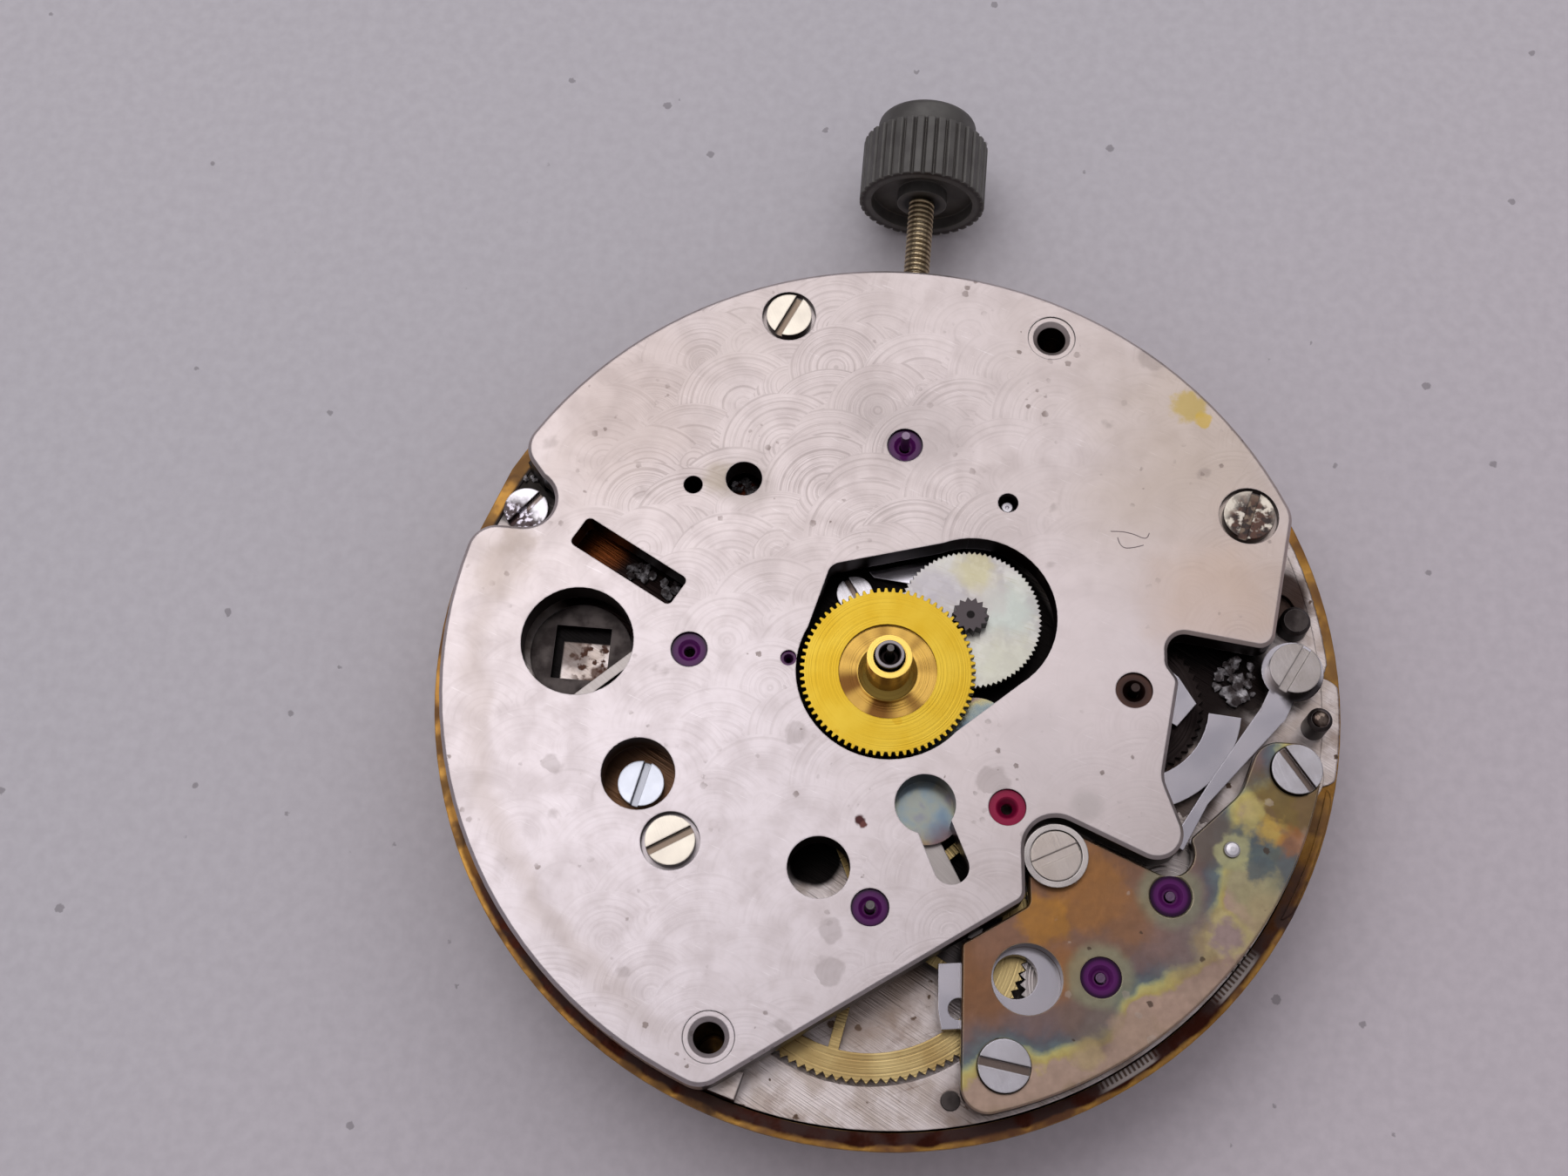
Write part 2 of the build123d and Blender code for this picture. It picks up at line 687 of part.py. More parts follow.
# Dial-side plate: one silvered plate, cut away over the reduction wheels and pierced over the motion work
plate_jewel_places = [spare_jewel_place, red_jewel_place, minute_counter_place, fourth_place]
with BuildPart() as top_plate:
    with BuildSketch(Plane.XY.offset(-plate_thickness)) as plate_outline:
        Circle(plate_radius)
        add(corner_face(on_plate(cutaway_shares), plate_sizes(cutaway_radii_shares)), mode=Mode.SUBTRACT)
        with BuildLine():
            Polyline(*on_plate(notch_corner_shares), close=True)
        make_face(mode=Mode.SUBTRACT)
        with Locations(on_plate([notch_centre_share])[0]):
            Circle(notch_radius, mode=Mode.SUBTRACT)
        fillet([corner for corner in plate_outline.vertices()
                if abs(hypot(corner.X, corner.Y) - plate_radius) < seat_gap], rim_corner_radius)
        add(corner_face(on_plate(window_corner_shares), plate_sizes(window_corner_radii_shares)), mode=Mode.SUBTRACT)
        with Locations(centre):
            Circle(centre_window_radius, mode=Mode.SUBTRACT)
        with Locations(on_plate([window_centre_share])[0]):
            Circle(minute_window_radius, mode=Mode.SUBTRACT)
        with Locations(Location((*slot_place, 0), (0, 0, slot_angle))):
            RectangleRounded(slot_length, slot_width, slot_corner_radius, mode=Mode.SUBTRACT)
        for place, radius in [(socket_hole_place, socket_hole_radius), (gilt_hole_place, gilt_hole_radius),
                              (disc_hole_place, disc_hole_radius), (keyhole_place, keyhole_radius),
                              (small_hole_place, small_hole_radius), (tool_hole_place, tool_hole_radius),
                              (pin_hole_place, pin_hole_radius), (small_jewel_place, small_jewel_radius + seat_gap)]:
            with Locations(place):
                Circle(radius, mode=Mode.SUBTRACT)
        add(bar_face(keyhole_place, keyhole_tail_place, 2 * keyhole_tail_radius), mode=Mode.SUBTRACT)
        with Locations(*plate_jewel_places, hour_counter_place):
            Circle(jewel_radius + seat_gap, mode=Mode.SUBTRACT)
        with Locations(*eyelet_places):
            Circle(eyelet_radius + seat_gap, mode=Mode.SUBTRACT)
        with Locations(*plate_screw_places):
            Circle(screw_shank_radius + turn_gap, mode=Mode.SUBTRACT)
    extrude(amount=plate_thickness)
    rim = top_plate.faces().sort_by(Axis.Z)[-1].outer_wire().edges()
    chamfer(rim, plate_bevel)
    for place, radius in zip(plate_screw_places, plate_screw_radii):
        rod(place, radius + counterbore_gap, -screw_sink, 0, Mode.SUBTRACT)
    rod(link_pivot_place, stud_radius, link_top - link_thickness - level_gap, -plate_thickness)
top_plate.part.label = "top_plate"
export_step(top_plate.part, "parts/top_plate.step")

# Jewels rubbed into the dial-side plate, sunk a little below its face
with BuildPart() as top_plate_jewels:
    for place in plate_jewel_places:
        jewel(place, jewel_radius, jewel_hole_radius, -jewel_drop - jewel_thickness, -jewel_drop)
    jewel(small_jewel_place, small_jewel_radius, small_pivot_radius, -jewel_drop - jewel_thickness, -jewel_drop)
top_plate_jewels.part.label = "top_plate_jewels"
export_step(top_plate_jewels.part, "parts/top_plate_jewels.step")

# Bush of the hour counter, a drilled disc of bronze in place of a jewel
with BuildPart() as hour_counter_bush:
    jewel(hour_counter_place, jewel_radius, jewel_hole_radius, -jewel_drop - jewel_thickness, -jewel_drop)
hour_counter_bush.part.label = "hour_counter_bush"
export_step(hour_counter_bush.part, "parts/hour_counter_bush.step")

# Module plate: carries the motion work, the counting work and the pillars of the dial-side plate
rim_start = 26
rim_sweep = 229
eyelet_pillar_radius = eyelet_radius + eyelet_wall
stained_pillar_radii = [0.95, 1.05]
spring_pillar_radius = 0.8
black_recess_end = on_plate([(0.885, 0.262)])[0]
reset_pivot_place = polar((reset_lever_inner_radius + reset_lever_outer_radius) / 2, reset_lever_start,
                          hour_counter_place)
with BuildPart() as module_plate:
    with BuildSketch(Plane.XY.offset(module_bottom)) as module_outline:
        Circle(module_radius)
    extrude(amount=module_thickness)
    with BuildSketch(Plane.XY.offset(module_top)) as rim_outline:
        with BuildLine():
            CenterArc(centre, module_radius, rim_start, rim_sweep)
            CenterArc(centre, module_radius - module_rim_width, rim_start, rim_sweep)
            Line(polar(module_radius, rim_start), polar(module_radius - module_rim_width, rim_start))
            Line(polar(module_radius, rim_start + rim_sweep),
                 polar(module_radius - module_rim_width, rim_start + rim_sweep))
        make_face()
        with BuildLine():
            Polyline(*on_plate(notch_corner_shares), close=True)
        make_face(mode=Mode.SUBTRACT)
        with Locations(on_plate([notch_centre_share])[0]):
            Circle(notch_radius, mode=Mode.SUBTRACT)
        with Locations(*plate_screw_places):
            Circle(pillar_radius)
        with Locations(*eyelet_places):
            Circle(eyelet_pillar_radius)
    extrude(amount=mechanism_gap)
    for place, radius in zip(stained_screw_places, stained_pillar_radii):
        rod(place, radius, module_top, stained_bottom)
    rod(spring_screw_place, spring_pillar_radius, module_top, strip_bottom)
    rod(reset_pivot_place, stud_radius, module_top, lever_top)
    rod(hammer_pivot_place, stud_radius, module_top, lever_top)
    # recesses of the large brass wheel and of the first reduction wheel
    rod(fourth_place, brass_module * (brass_teeth / 2 + 1) + turn_gap * 2, recess_floor, module_top, Mode.SUBTRACT)
    rod(first_reduction_place, brass_module * (first_reduction_teeth / 2 + 1) + turn_gap * 2, recess_floor,
        module_top, Mode.SUBTRACT)
    slab(bar_face(black_post_place, black_recess_end, 2 * black_post_radius), module_top - plate_bevel * 2,
         module_top, Mode.SUBTRACT)
    # studs of the setting wheels, on the plate's underside
    for place in (setting_wheel_place, idler_place):
        rod(place, setting_stud_radius, setting_wheel_top - setting_wheel_thickness, module_bottom)
    for place in (*plate_screw_places, *stained_screw_places, sleeve_place, *low_screw_places, window_screw_place,
                  spring_screw_place):
        rod(place, screw_shank_radius + seat_gap, module_bottom, -plate_thickness, Mode.SUBTRACT)
    for place in eyelet_places:
        rod(place, eyelet_bore_radius, module_bottom, -plate_thickness, Mode.SUBTRACT)
    for place in (minute_counter_place, hour_counter_place, fourth_place):
        rod(place, counter_arbor_radius + turn_gap, module_bottom, module_top, Mode.SUBTRACT)
    for place in (first_reduction_place, second_reduction_place, minute_place):
        rod(place, reduction_arbor_radius + turn_gap, module_bottom, module_top, Mode.SUBTRACT)
    rod(centre, centre_tube_radius + turn_gap, module_bottom, module_top, Mode.SUBTRACT)
    for place, radius in ((post_place, post_pin_radius), (black_post_place, post_pin_radius),
                          (edge_pin_place, edge_pin_radius)):
        rod(place, radius + seat_gap, module_top - post_seat, module_top, Mode.SUBTRACT)
module_plate.part.label = "module_plate"
export_step(module_plate.part, "parts/module_plate.step")

# Main plate: gilt, with the casing rim and flange round the module plate
with BuildPart() as main_plate:
    with BuildSketch(Plane.XY.offset(main_bottom)) as main_outline:
        Circle(plate_radius)
    extrude(amount=main_thickness)
    rod(centre, plate_radius, module_bottom, flange_top)
    with BuildSketch(Plane.XY.offset(flange_top - flange_thickness)) as flange_outline:
        Circle(flange_radius)
        with Locations(Location((*polar(flange_flat_distance + flange_radius, flange_flat_direction), 0),
                                (0, 0, flange_flat_direction))):
            Rectangle(2 * flange_radius, 2 * flange_radius, mode=Mode.SUBTRACT)
        with Locations((0, flange_radius)):
            Rectangle(stem_notch_width, 2 * stem_notch_depth, mode=Mode.SUBTRACT)
    extrude(amount=flange_thickness)
    rod(centre, rim_inner_radius, module_bottom, flange_top, Mode.SUBTRACT)
    # pockets open to the bridge side: barrel, centre pinion, winding pinion and sliding pinion
    barrel_pocket_radius = barrel_module * (barrel_teeth / 2 + addendum_share) + pocket_gap
    rod(barrel_place, barrel_pocket_radius, main_bottom, barrel_top + pocket_gap, Mode.SUBTRACT)
    rod(barrel_place, barrel_pivot_radius + turn_gap, barrel_top, barrel_top + barrel_pivot_length + pocket_gap,
        Mode.SUBTRACT)
    rod(centre, centre_pocket_radius, main_bottom, centre_pinion_top + level_gap, Mode.SUBTRACT)
    rod(centre, centre_tube_radius + turn_gap, main_bottom, module_bottom, Mode.SUBTRACT)
    pinion_pocket = winding_pinion_radius + 2 * level_gap
    with Locations((0, winding_pinion_start - level_gap, stem_level + pinion_pocket)):
        Box(2 * pinion_pocket, winding_pinion_length + 2 * level_gap, 2 * pinion_pocket,
            align=(Align.CENTER, Align.MIN, Align.MAX), mode=Mode.SUBTRACT)
    with Locations((0, clutch_start - clutch_travel - pocket_gap, keyless_floor)):
        Box(2 * (clutch_radius + pocket_gap), clutch_length + clutch_travel + 2 * pocket_gap,
            keyless_floor - main_bottom, align=(Align.CENTER, Align.MIN, Align.MAX), mode=Mode.SUBTRACT)
    stem_hole_start = stem_square_start - 0.2 * stem_pilot_length
    turned(stem_pilot_radius + turn_gap, stem_square_start - stem_pilot_length - level_gap, clutch_start,
           Mode.SUBTRACT)
    turned(stem_square / sqrt(2) + 2 * turn_gap, stem_hole_start, clutch_start, Mode.SUBTRACT)
    turned(stem_shoulder_radius + turn_gap, winding_pinion_start, plate_radius + overrun, Mode.SUBTRACT)
    # recesses of the dial side: keyless levers, setting wheels
    with BuildSketch(Plane.XY.offset(keyless_floor)) as keyless_outline:
        with BuildLine():
            Polyline(*on_plate(keyless_corner_shares), close=True)
        make_face()
    extrude(amount=keyless_depth, mode=Mode.SUBTRACT)
    with Locations((0, groove_middle - stem_groove_width / 2, keyless_floor)):
        Box(2 * stem_groove_width, stem_groove_width + stem_pull, keyless_floor - stem_level,
            align=(Align.CENTER, Align.MIN, Align.MAX), mode=Mode.SUBTRACT)
    for place in (setting_pivot_place, yoke_pivot_place):
        rod(place, keyless_stud_radius, keyless_floor, module_bottom - level_gap)
    for place, teeth in ((setting_wheel_place, setting_teeth), (idler_place, idler_teeth),
                         (minute_place, minute_setting_teeth)):
        rod(place, setting_module * (teeth / 2 + 1) + level_gap, setting_floor, module_bottom, Mode.SUBTRACT)
    # pivot holes of the train, dial-foot bores and screw holes
    rod(fourth_place, counter_arbor_radius + turn_gap, main_bottom, module_bottom, Mode.SUBTRACT)
    for place in (third_place, escape_place, pallet_place, balance_place):
        rod(place, train_pivot_radius + turn_gap, main_bottom, main_bottom + train_pivot_depth + level_gap,
            Mode.SUBTRACT)
    for place in eyelet_places:
        rod(place, eyelet_bore_radius, module_bottom - eyelet_bore_depth, module_bottom, Mode.SUBTRACT)
    for place in (*plate_screw_places, *stained_screw_places, *low_screw_places, window_screw_place):
        rod(place, screw_shank_radius + seat_gap, module_bottom - screw_reach - level_gap, module_bottom,
            Mode.SUBTRACT)
    for place in (*barrel_screw_places, *train_foot_places, cock_foot_place, pallet_foot_place):
        rod(place, screw_shank_radius + seat_gap, main_bottom, main_bottom + back_screw_radius + level_gap,
            Mode.SUBTRACT)
main_plate.part.label = "main_plate"
export_step(main_plate.part, "parts/main_plate.step")

# Stained bridge over the reduction wheels
with BuildPart() as stained_bridge:
    with BuildSketch(Plane.XY.offset(stained_bottom)) as stained_outline:
        Circle(stained_radius)
        add(corner_face(on_plate(stained_corner_shares), plate_sizes(stained_corner_radii_shares)),
            mode=Mode.INTERSECT)
        fillet([corner for corner in stained_outline.vertices()
                if abs(hypot(corner.X, corner.Y) - stained_radius) < seat_gap], stained_corner_radius)
        with Locations(stained_window_place):
            Circle(stained_window_radius, mode=Mode.SUBTRACT)
        with Locations(first_reduction_place, second_reduction_place):
            Circle(stained_jewel_radius + seat_gap, mode=Mode.SUBTRACT)
        with Locations(*stained_screw_places):
            Circle(screw_shank_radius + turn_gap, mode=Mode.SUBTRACT)
        with Locations(sleeve_place):
            Circle(sleeve_shank_radius + seat_gap, mode=Mode.SUBTRACT)
        with Locations(bridge_pin_place):
            Circle(bridge_pin_radius + seat_gap, mode=Mode.SUBTRACT)
    extrude(amount=stained_thickness)
    chamfer(stained_bridge.faces().sort_by(Axis.Z)[-1].outer_wire().edges(), plate_bevel / 2)
    for place in stained_screw_places:
        rod(place, stained_screw_radius + turn_gap, stained_top - stained_sink, stained_top, Mode.SUBTRACT)
    rod(block_pivot_place, stud_radius, stained_bottom - block_thickness - 2 * level_gap, stained_bottom)
stained_bridge.part.label = "stained_bridge"
export_step(stained_bridge.part, "parts/stained_bridge.step")

with BuildPart() as stained_bridge_jewels:
    for place in (first_reduction_place, second_reduction_place):
        jewel(place, stained_jewel_radius, jewel_hole_radius, stained_bottom + level_gap, stained_top - level_gap)
stained_bridge_jewels.part.label = "stained_bridge_jewels"
export_step(stained_bridge_jewels.part, "parts/stained_bridge_jewels.step")

# Shouldered sleeve between the module plate and the stained bridge, with its screw
with BuildPart() as sleeve:
    rod(sleeve_place, sleeve_shank_radius, module_top, stained_top)
    rod(sleeve_place, sleeve_radius, stained_top, sleeve_top)
    rod(sleeve_place, sleeve_screw_radius + turn_gap, stained_top + sleeve_floor, sleeve_top, Mode.SUBTRACT)
    rod(sleeve_place, screw_shank_radius + seat_gap, module_top, sleeve_top, Mode.SUBTRACT)
sleeve.part.label = "sleeve"
export_step(sleeve.part, "parts/sleeve.step")

# Screws of the dial side, three groups
with BuildPart() as plate_screws:
    for place, radius, angle in zip(plate_screw_places, plate_screw_radii, plate_screw_angles):
        screw(place, radius, screw_head_height - screw_sink, screw_head_height, screw_shank_radius,
              module_bottom - screw_reach, angle)
plate_screws.part.label = "plate_screws"
export_step(plate_screws.part, "parts/plate_screws.step")

with BuildPart() as module_screws:
    for place, radius, angle in zip((*low_screw_places, window_screw_place),
                                    (low_screw_radius, low_screw_radius, window_screw_radius),
                                    (*low_screw_angles, window_screw_angle)):
        screw(place, radius, low_screw_top, screw_head_height, screw_shank_radius, module_bottom - screw_reach, angle)
    screw(spring_screw_place, spring_screw_radius, strip_bottom + strip_thickness + screw_head_height,
          screw_head_height, screw_shank_radius, module_bottom + level_gap, spring_screw_angle)
module_screws.part.label = "module_screws"
export_step(module_screws.part, "parts/module_screws.step")

with BuildPart() as stained_bridge_screws:
    for place, angle in zip(stained_screw_places, stained_screw_angles):
        screw(place, stained_screw_radius, stained_top - stained_sink + screw_head_height, screw_head_height,
              screw_shank_radius, module_bottom - screw_reach, angle)
    screw(sleeve_place, sleeve_screw_radius, sleeve_top - turn_gap,
          sleeve_top - turn_gap - stained_top - sleeve_floor, screw_shank_radius, module_bottom + level_gap,
          sleeve_screw_angle)
stained_bridge_screws.part.label = "stained_bridge_screws"
export_step(stained_bridge_screws.part, "parts/stained_bridge_screws.step")

# Eyelets that line the holes of the dial feet
with BuildPart() as eyelets:
    for place in eyelet_places:
        rod(place, eyelet_radius, -plate_thickness, -eyelet_wall_drop)
        rod(place, eyelet_bore_radius, -plate_thickness, -eyelet_wall_drop, Mode.SUBTRACT)
        cone(place, eyelet_bore_radius, (eyelet_bore_radius + eyelet_radius) / 2,
             -eyelet_wall_drop - eyelet_sink, -eyelet_wall_drop, Mode.SUBTRACT)
eyelets.part.label = "eyelets"
export_step(eyelets.part, "parts/eyelets.step")

# Posts and pins standing in the module plate and the stained bridge
with BuildPart() as posts:
    for place, radius, top in ((post_place, post_radius, post_top),
                               (black_post_place, black_post_radius, black_post_top)):
        rod(place, post_pin_radius, module_top - post_seat, module_top)
        rod(place, radius, module_top, top - post_round)
        cone(place, radius, radius - post_round, top - post_round, top)
    rod(edge_pin_place, edge_pin_radius, module_top - post_seat, module_top + 2 * level_gap)
    rod(bridge_pin_place, bridge_pin_radius, stained_bottom, stained_top + level_gap)
posts.part.label = "posts"
export_step(posts.part, "parts/posts.step")

# Strip spring that holds the reset lever, under its screw
with BuildPart() as reset_spring:
    with BuildSketch(Plane.XY.offset(strip_bottom)) as strip_outline:
        with Locations(spring_screw_place):
            Circle(spring_foot_radius)
        add(bar_face(spring_screw_place, strip_fold_place, strip_fold_width))
        with BuildLine():
            Polyline(*on_plate(strip_shares), close=True)
        make_face()
        with Locations(spring_screw_place):
            Circle(screw_shank_radius + seat_gap, mode=Mode.SUBTRACT)
    extrude(amount=strip_thickness)
reset_spring.part.label = "reset_spring"
export_step(reset_spring.part, "parts/reset_spring.step")

# Flat jumper in the motion-work window, pressing on the minute counter's wheel
with BuildPart() as minute_jumper:
    with BuildSketch(Plane.XY.offset(counter_wheel_bottom)) as jumper_outline:
        with BuildLine():
            Polyline(*on_plate(jumper_shares), close=True)
        make_face()
    extrude(amount=jumper_thickness)
minute_jumper.part.label = "minute_jumper"
export_step(minute_jumper.part, "parts/minute_jumper.step")

# Tarnished cover piece under the keyhole opening
with BuildPart() as lever_cover:
    slab(bar_face(*cover_ends, cover_width), -plate_thickness - cover_thickness, -plate_thickness)
lever_cover.part.label = "lever_cover"
export_step(lever_cover.part, "parts/lever_cover.step")

# Ring with a square socket and the bar across it, under the large hole
with BuildPart() as socket_ring:
    with BuildSketch(Plane.XY.offset(module_top)) as socket_outline:
        with Locations(socket_hole_place):
            Circle(socket_ring_radius)
            Rectangle(socket_square, socket_square, mode=Mode.SUBTRACT)
    extrude(amount=socket_ring_thickness)
socket_ring.part.label = "socket_ring"
export_step(socket_ring.part, "parts/socket_ring.step")

with BuildPart() as socket_bar:
    slab(bar_face(*jumper_bar_ends, jumper_bar_width), module_top + socket_ring_thickness,
         module_top + socket_ring_thickness + jumper_bar_thickness)
socket_bar.part.label = "socket_bar"
export_step(socket_bar.part, "parts/socket_bar.step")

# Motion work: hour wheel with its pipe, minute wheel with its pinion, cannon pinion
hour_turn = mesh_turn(minute_leaves, 0, minute_place, hour_teeth, centre)
minute_turn = mesh_turn(cannon_teeth, 0, centre, minute_teeth, minute_place)
with BuildPart() as hour_wheel:
    slab(gear_face(hour_teeth, hour_module, hour_turn, True), hour_disc_top - hour_disc_thickness, hour_disc_top)
    rod(centre, hour_dish_radius, hour_disc_top - hour_dish_depth, hour_disc_top, Mode.SUBTRACT)
    cone(centre, hour_collar_radius, hour_pipe_radius, hour_disc_top - hour_dish_depth,
         hour_disc_top + hour_collar_height)
    rod(centre, hour_pipe_radius, hour_disc_top, hour_pipe_top)
    rod(centre, cannon_radius + turn_gap, hour_disc_top - hour_disc_thickness, hour_pipe_top, Mode.SUBTRACT)
hour_wheel.part.label = "hour_wheel"
export_step(hour_wheel.part, "parts/hour_wheel.step")

with BuildPart() as minute_wheel:
    slab(gear_face(minute_teeth, minute_module, minute_turn, False, minute_place),
         minute_wheel_top - minute_wheel_thickness, minute_wheel_top)
    slab(gear_face(minute_leaves, hour_module, 0, False, minute_place), minute_wheel_top, hour_disc_top + level_gap)
    rod(minute_place, minute_arbor_radius, setting_wheel_top, minute_wheel_top - minute_wheel_thickness)
    slab(gear_face(minute_setting_teeth, setting_module, 0, False, minute_place),
         setting_wheel_top - setting_wheel_thickness, setting_wheel_top)
minute_wheel.part.label = "minute_wheel"
export_step(minute_wheel.part, "parts/minute_wheel.step")

with BuildPart() as cannon_pinion:
    rod(centre, cannon_collar_radius, module_top + level_gap, minute_wheel_top - minute_wheel_thickness)
    slab(gear_face(cannon_teeth, minute_module), minute_wheel_top - minute_wheel_thickness - turn_gap,
         minute_wheel_top + turn_gap)
    cone(centre, cannon_radius, cannon_seat_radius, minute_wheel_top, cannon_seat_bottom)
    rod(centre, cannon_seat_radius, cannon_seat_bottom, cannon_top)
    rod(centre, centre_tube_radius + turn_gap, module_top + level_gap, cannon_top, Mode.SUBTRACT)
cannon_pinion.part.label = "cannon_pinion"
export_step(cannon_pinion.part, "parts/cannon_pinion.step")

# Counter wheels: the minutes' towards the stem, the hours' at 6 o'clock


def counter(place, pivot_top, teeth):
    """A counter's arbor with its wheel, its reset cam, its pivot in the jewel and its hand's seat."""
    rod(place, counter_arbor_radius, counter_arbor_bottom, -jewel_drop - jewel_thickness - turn_gap)
    cone(place, counter_pivot_radius, hand_seat_radius, -jewel_drop - jewel_thickness - turn_gap, hand_seat_bottom)
    rod(place, hand_seat_radius, hand_seat_bottom, pivot_top)
    slab(gear_face(teeth, counter_module, 0, False, place), counter_wheel_bottom,
         counter_wheel_bottom + counter_wheel_thickness)
    rod((place[0] + cam_offset, place[1]), cam_radius, counter_wheel_bottom + counter_wheel_thickness, lever_top)


with BuildPart() as minute_counter:
    counter(minute_counter_place, minute_counter_pivot_top, minute_counter_teeth)
minute_counter.part.label = "minute_counter"
export_step(minute_counter.part, "parts/minute_counter.step")

with BuildPart() as hour_counter:
    counter(hour_counter_place, hour_counter_pivot_top, hour_counter_teeth)
hour_counter.part.label = "hour_counter"
export_step(hour_counter.part, "parts/hour_counter.step")

# Large brass wheel on the fourth arbor, and the two reduction wheels that it drives
first_turn = mesh_turn(brass_teeth, 0, fourth_place, first_reduction_teeth, first_reduction_place)
second_turn = mesh_turn(first_reduction_leaves, 0, first_reduction_place, second_reduction_teeth,
                        second_reduction_place)
brass_rim_radius = brass_module * brass_teeth / 2 - brass_rim_width
with BuildPart() as brass_wheel:
    slab(wheel_face(gear_face(brass_teeth, brass_module, 0, False, fourth_place), brass_rim_radius, brass_hub_radius,
                    brass_spokes, spoke_width, fourth_place, brass_spoke_turn),
         brass_top - brass_thickness, brass_top)
    rod(fourth_place, counter_arbor_radius + seat_gap, brass_top - brass_thickness, brass_top, Mode.SUBTRACT)
brass_wheel.part.label = "brass_wheel"
export_step(brass_wheel.part, "parts/brass_wheel.step")

with BuildPart() as first_reduction_wheel:
    first_wheel = gear_face(first_reduction_teeth, brass_module, first_turn, False, first_reduction_place)
    slab(first_wheel, brass_top - brass_thickness, brass_top)
    slab(gear_face(first_reduction_leaves, second_module, 0, False, first_reduction_place), brass_top,
         second_wheel_bottom + second_wheel_thickness + level_gap)
    rod(first_reduction_place, reduction_arbor_radius, module_bottom + level_gap,
        stained_bottom + level_gap - turn_gap)
    rod(first_reduction_place, counter_pivot_radius, stained_bottom, stained_top - 2 * level_gap)
first_reduction_wheel.part.label = "first_reduction_wheel"
export_step(first_reduction_wheel.part, "parts/first_reduction_wheel.step")

with BuildPart() as second_reduction_wheel:
    slab(gear_face(second_reduction_teeth, second_module, second_turn, False, second_reduction_place),
         second_wheel_bottom, second_wheel_bottom + second_wheel_thickness)
    rod(second_reduction_place, reduction_arbor_radius, module_bottom + level_gap,
        stained_bottom + level_gap - turn_gap)
    rod(second_reduction_place, counter_pivot_radius, stained_bottom, stained_top - 2 * level_gap)
second_reduction_wheel.part.label = "second_reduction_wheel"
export_step(second_reduction_wheel.part, "parts/second_reduction_wheel.step")

# Levers of the counting work
with BuildPart() as reset_lever:
    with BuildSketch(Plane.XY.offset(lever_top - reset_lever_thickness)) as reset_outline:
        with BuildLine():
            outer = CenterArc(hour_counter_place, reset_lever_outer_radius, reset_lever_start,
                              reset_lever_end - reset_lever_start)
            inner = CenterArc(hour_counter_place, reset_lever_inner_radius, reset_lever_start,
                              reset_lever_end - reset_lever_start)
            Line(outer @ 0, inner @ 0)
            Line(outer @ 1, inner @ 1)
        make_face()
        with Locations(reset_pivot_place):
            Circle(reset_pivot_radius)
            Circle(stud_radius + turn_gap, mode=Mode.SUBTRACT)
    extrude(amount=reset_lever_thickness)
reset_lever.part.label = "reset_lever"
export_step(reset_lever.part, "parts/reset_lever.step")

with BuildPart() as hour_hammer:
    with BuildSketch(Plane.XY.offset(lever_top - reset_lever_thickness)) as hammer_outline:
        with BuildLine():
            Polyline(*on_plate(hammer_shares), close=True)
        make_face()
        with Locations(hammer_pivot_place):
            Circle(hammer_boss_radius)
            Circle(stud_radius + turn_gap, mode=Mode.SUBTRACT)
    extrude(amount=reset_lever_thickness)
hour_hammer.part.label = "hour_hammer"
export_step(hour_hammer.part, "parts/hour_hammer.step")

with BuildPart() as block_lever:
    with BuildSketch(Plane.XY.offset(stained_bottom - block_thickness - level_gap)) as block_outline:
        with BuildLine():
            Polyline(*on_plate(block_corner_shares), close=True)
        make_face()
        add(bar_face(block_pivot_place, block_ring_place, block_arm_width))
        with Locations(block_ring_place):
            Circle(block_ring_radius)
        with Locations(block_eye_place):
            Circle(block_eye_radius, mode=Mode.SUBTRACT)
        with Locations(block_hole_place):
            Circle(block_hole_radius, mode=Mode.SUBTRACT)
        with Locations(block_pivot_place):
            Circle(stud_radius + turn_gap, mode=Mode.SUBTRACT)
    extrude(amount=block_thickness)
block_lever.part.label = "block_lever"
export_step(block_lever.part, "parts/block_lever.step")

with BuildPart() as keyhole_lever:
    slab(bar_face(*link_ends, link_width), link_top - link_thickness, link_top)
    rod(link_pivot_place, stud_radius + turn_gap, link_top - link_thickness, link_top, Mode.SUBTRACT)
keyhole_lever.part.label = "keyhole_lever"
export_step(keyhole_lever.part, "parts/keyhole_lever.step")

# Going train between the main plate and the bridges
centre_turn = mesh_turn(third_leaves, 0, third_place, centre_teeth, centre)
third_turn = mesh_turn(fourth_leaves, 0, fourth_place, third_teeth, third_place)
escape_turn = mesh_turn(fourth_teeth, 0, fourth_place, escape_leaves, escape_place)
barrel_turn = mesh_turn(centre_leaves, 0, centre, barrel_teeth, barrel_place)
train_pivot_level = rest_level + level_gap * 2


def train_arbor(place):
    """An arbor with a pivot in the main plate and one in a bridge jewel."""
    rod(place, train_pivot_radius, main_bottom, main_bottom + train_pivot_depth)
    rod(place, train_arbor_radius, train_bridge_top + turn_gap, main_bottom - turn_gap)
    rod(place, train_pivot_radius, train_pivot_level, main_bottom)


with BuildPart() as centre_wheel:
    slab(wheel_face(gear_face(centre_teeth, centre_module, centre_turn), centre_rim_radius, centre_hub_radius,
                    train_spokes, train_spoke_width, centre),
         centre_wheel_top - train_wheel_thickness, centre_wheel_top)
    slab(gear_face(centre_leaves, barrel_module), centre_wheel_top, centre_pinion_top)
    rod(centre, centre_tube_radius + seat_gap, centre_wheel_top - train_wheel_thickness, centre_pinion_top,
        Mode.SUBTRACT)
centre_wheel.part.label = "centre_wheel"
export_step(centre_wheel.part, "parts/centre_wheel.step")

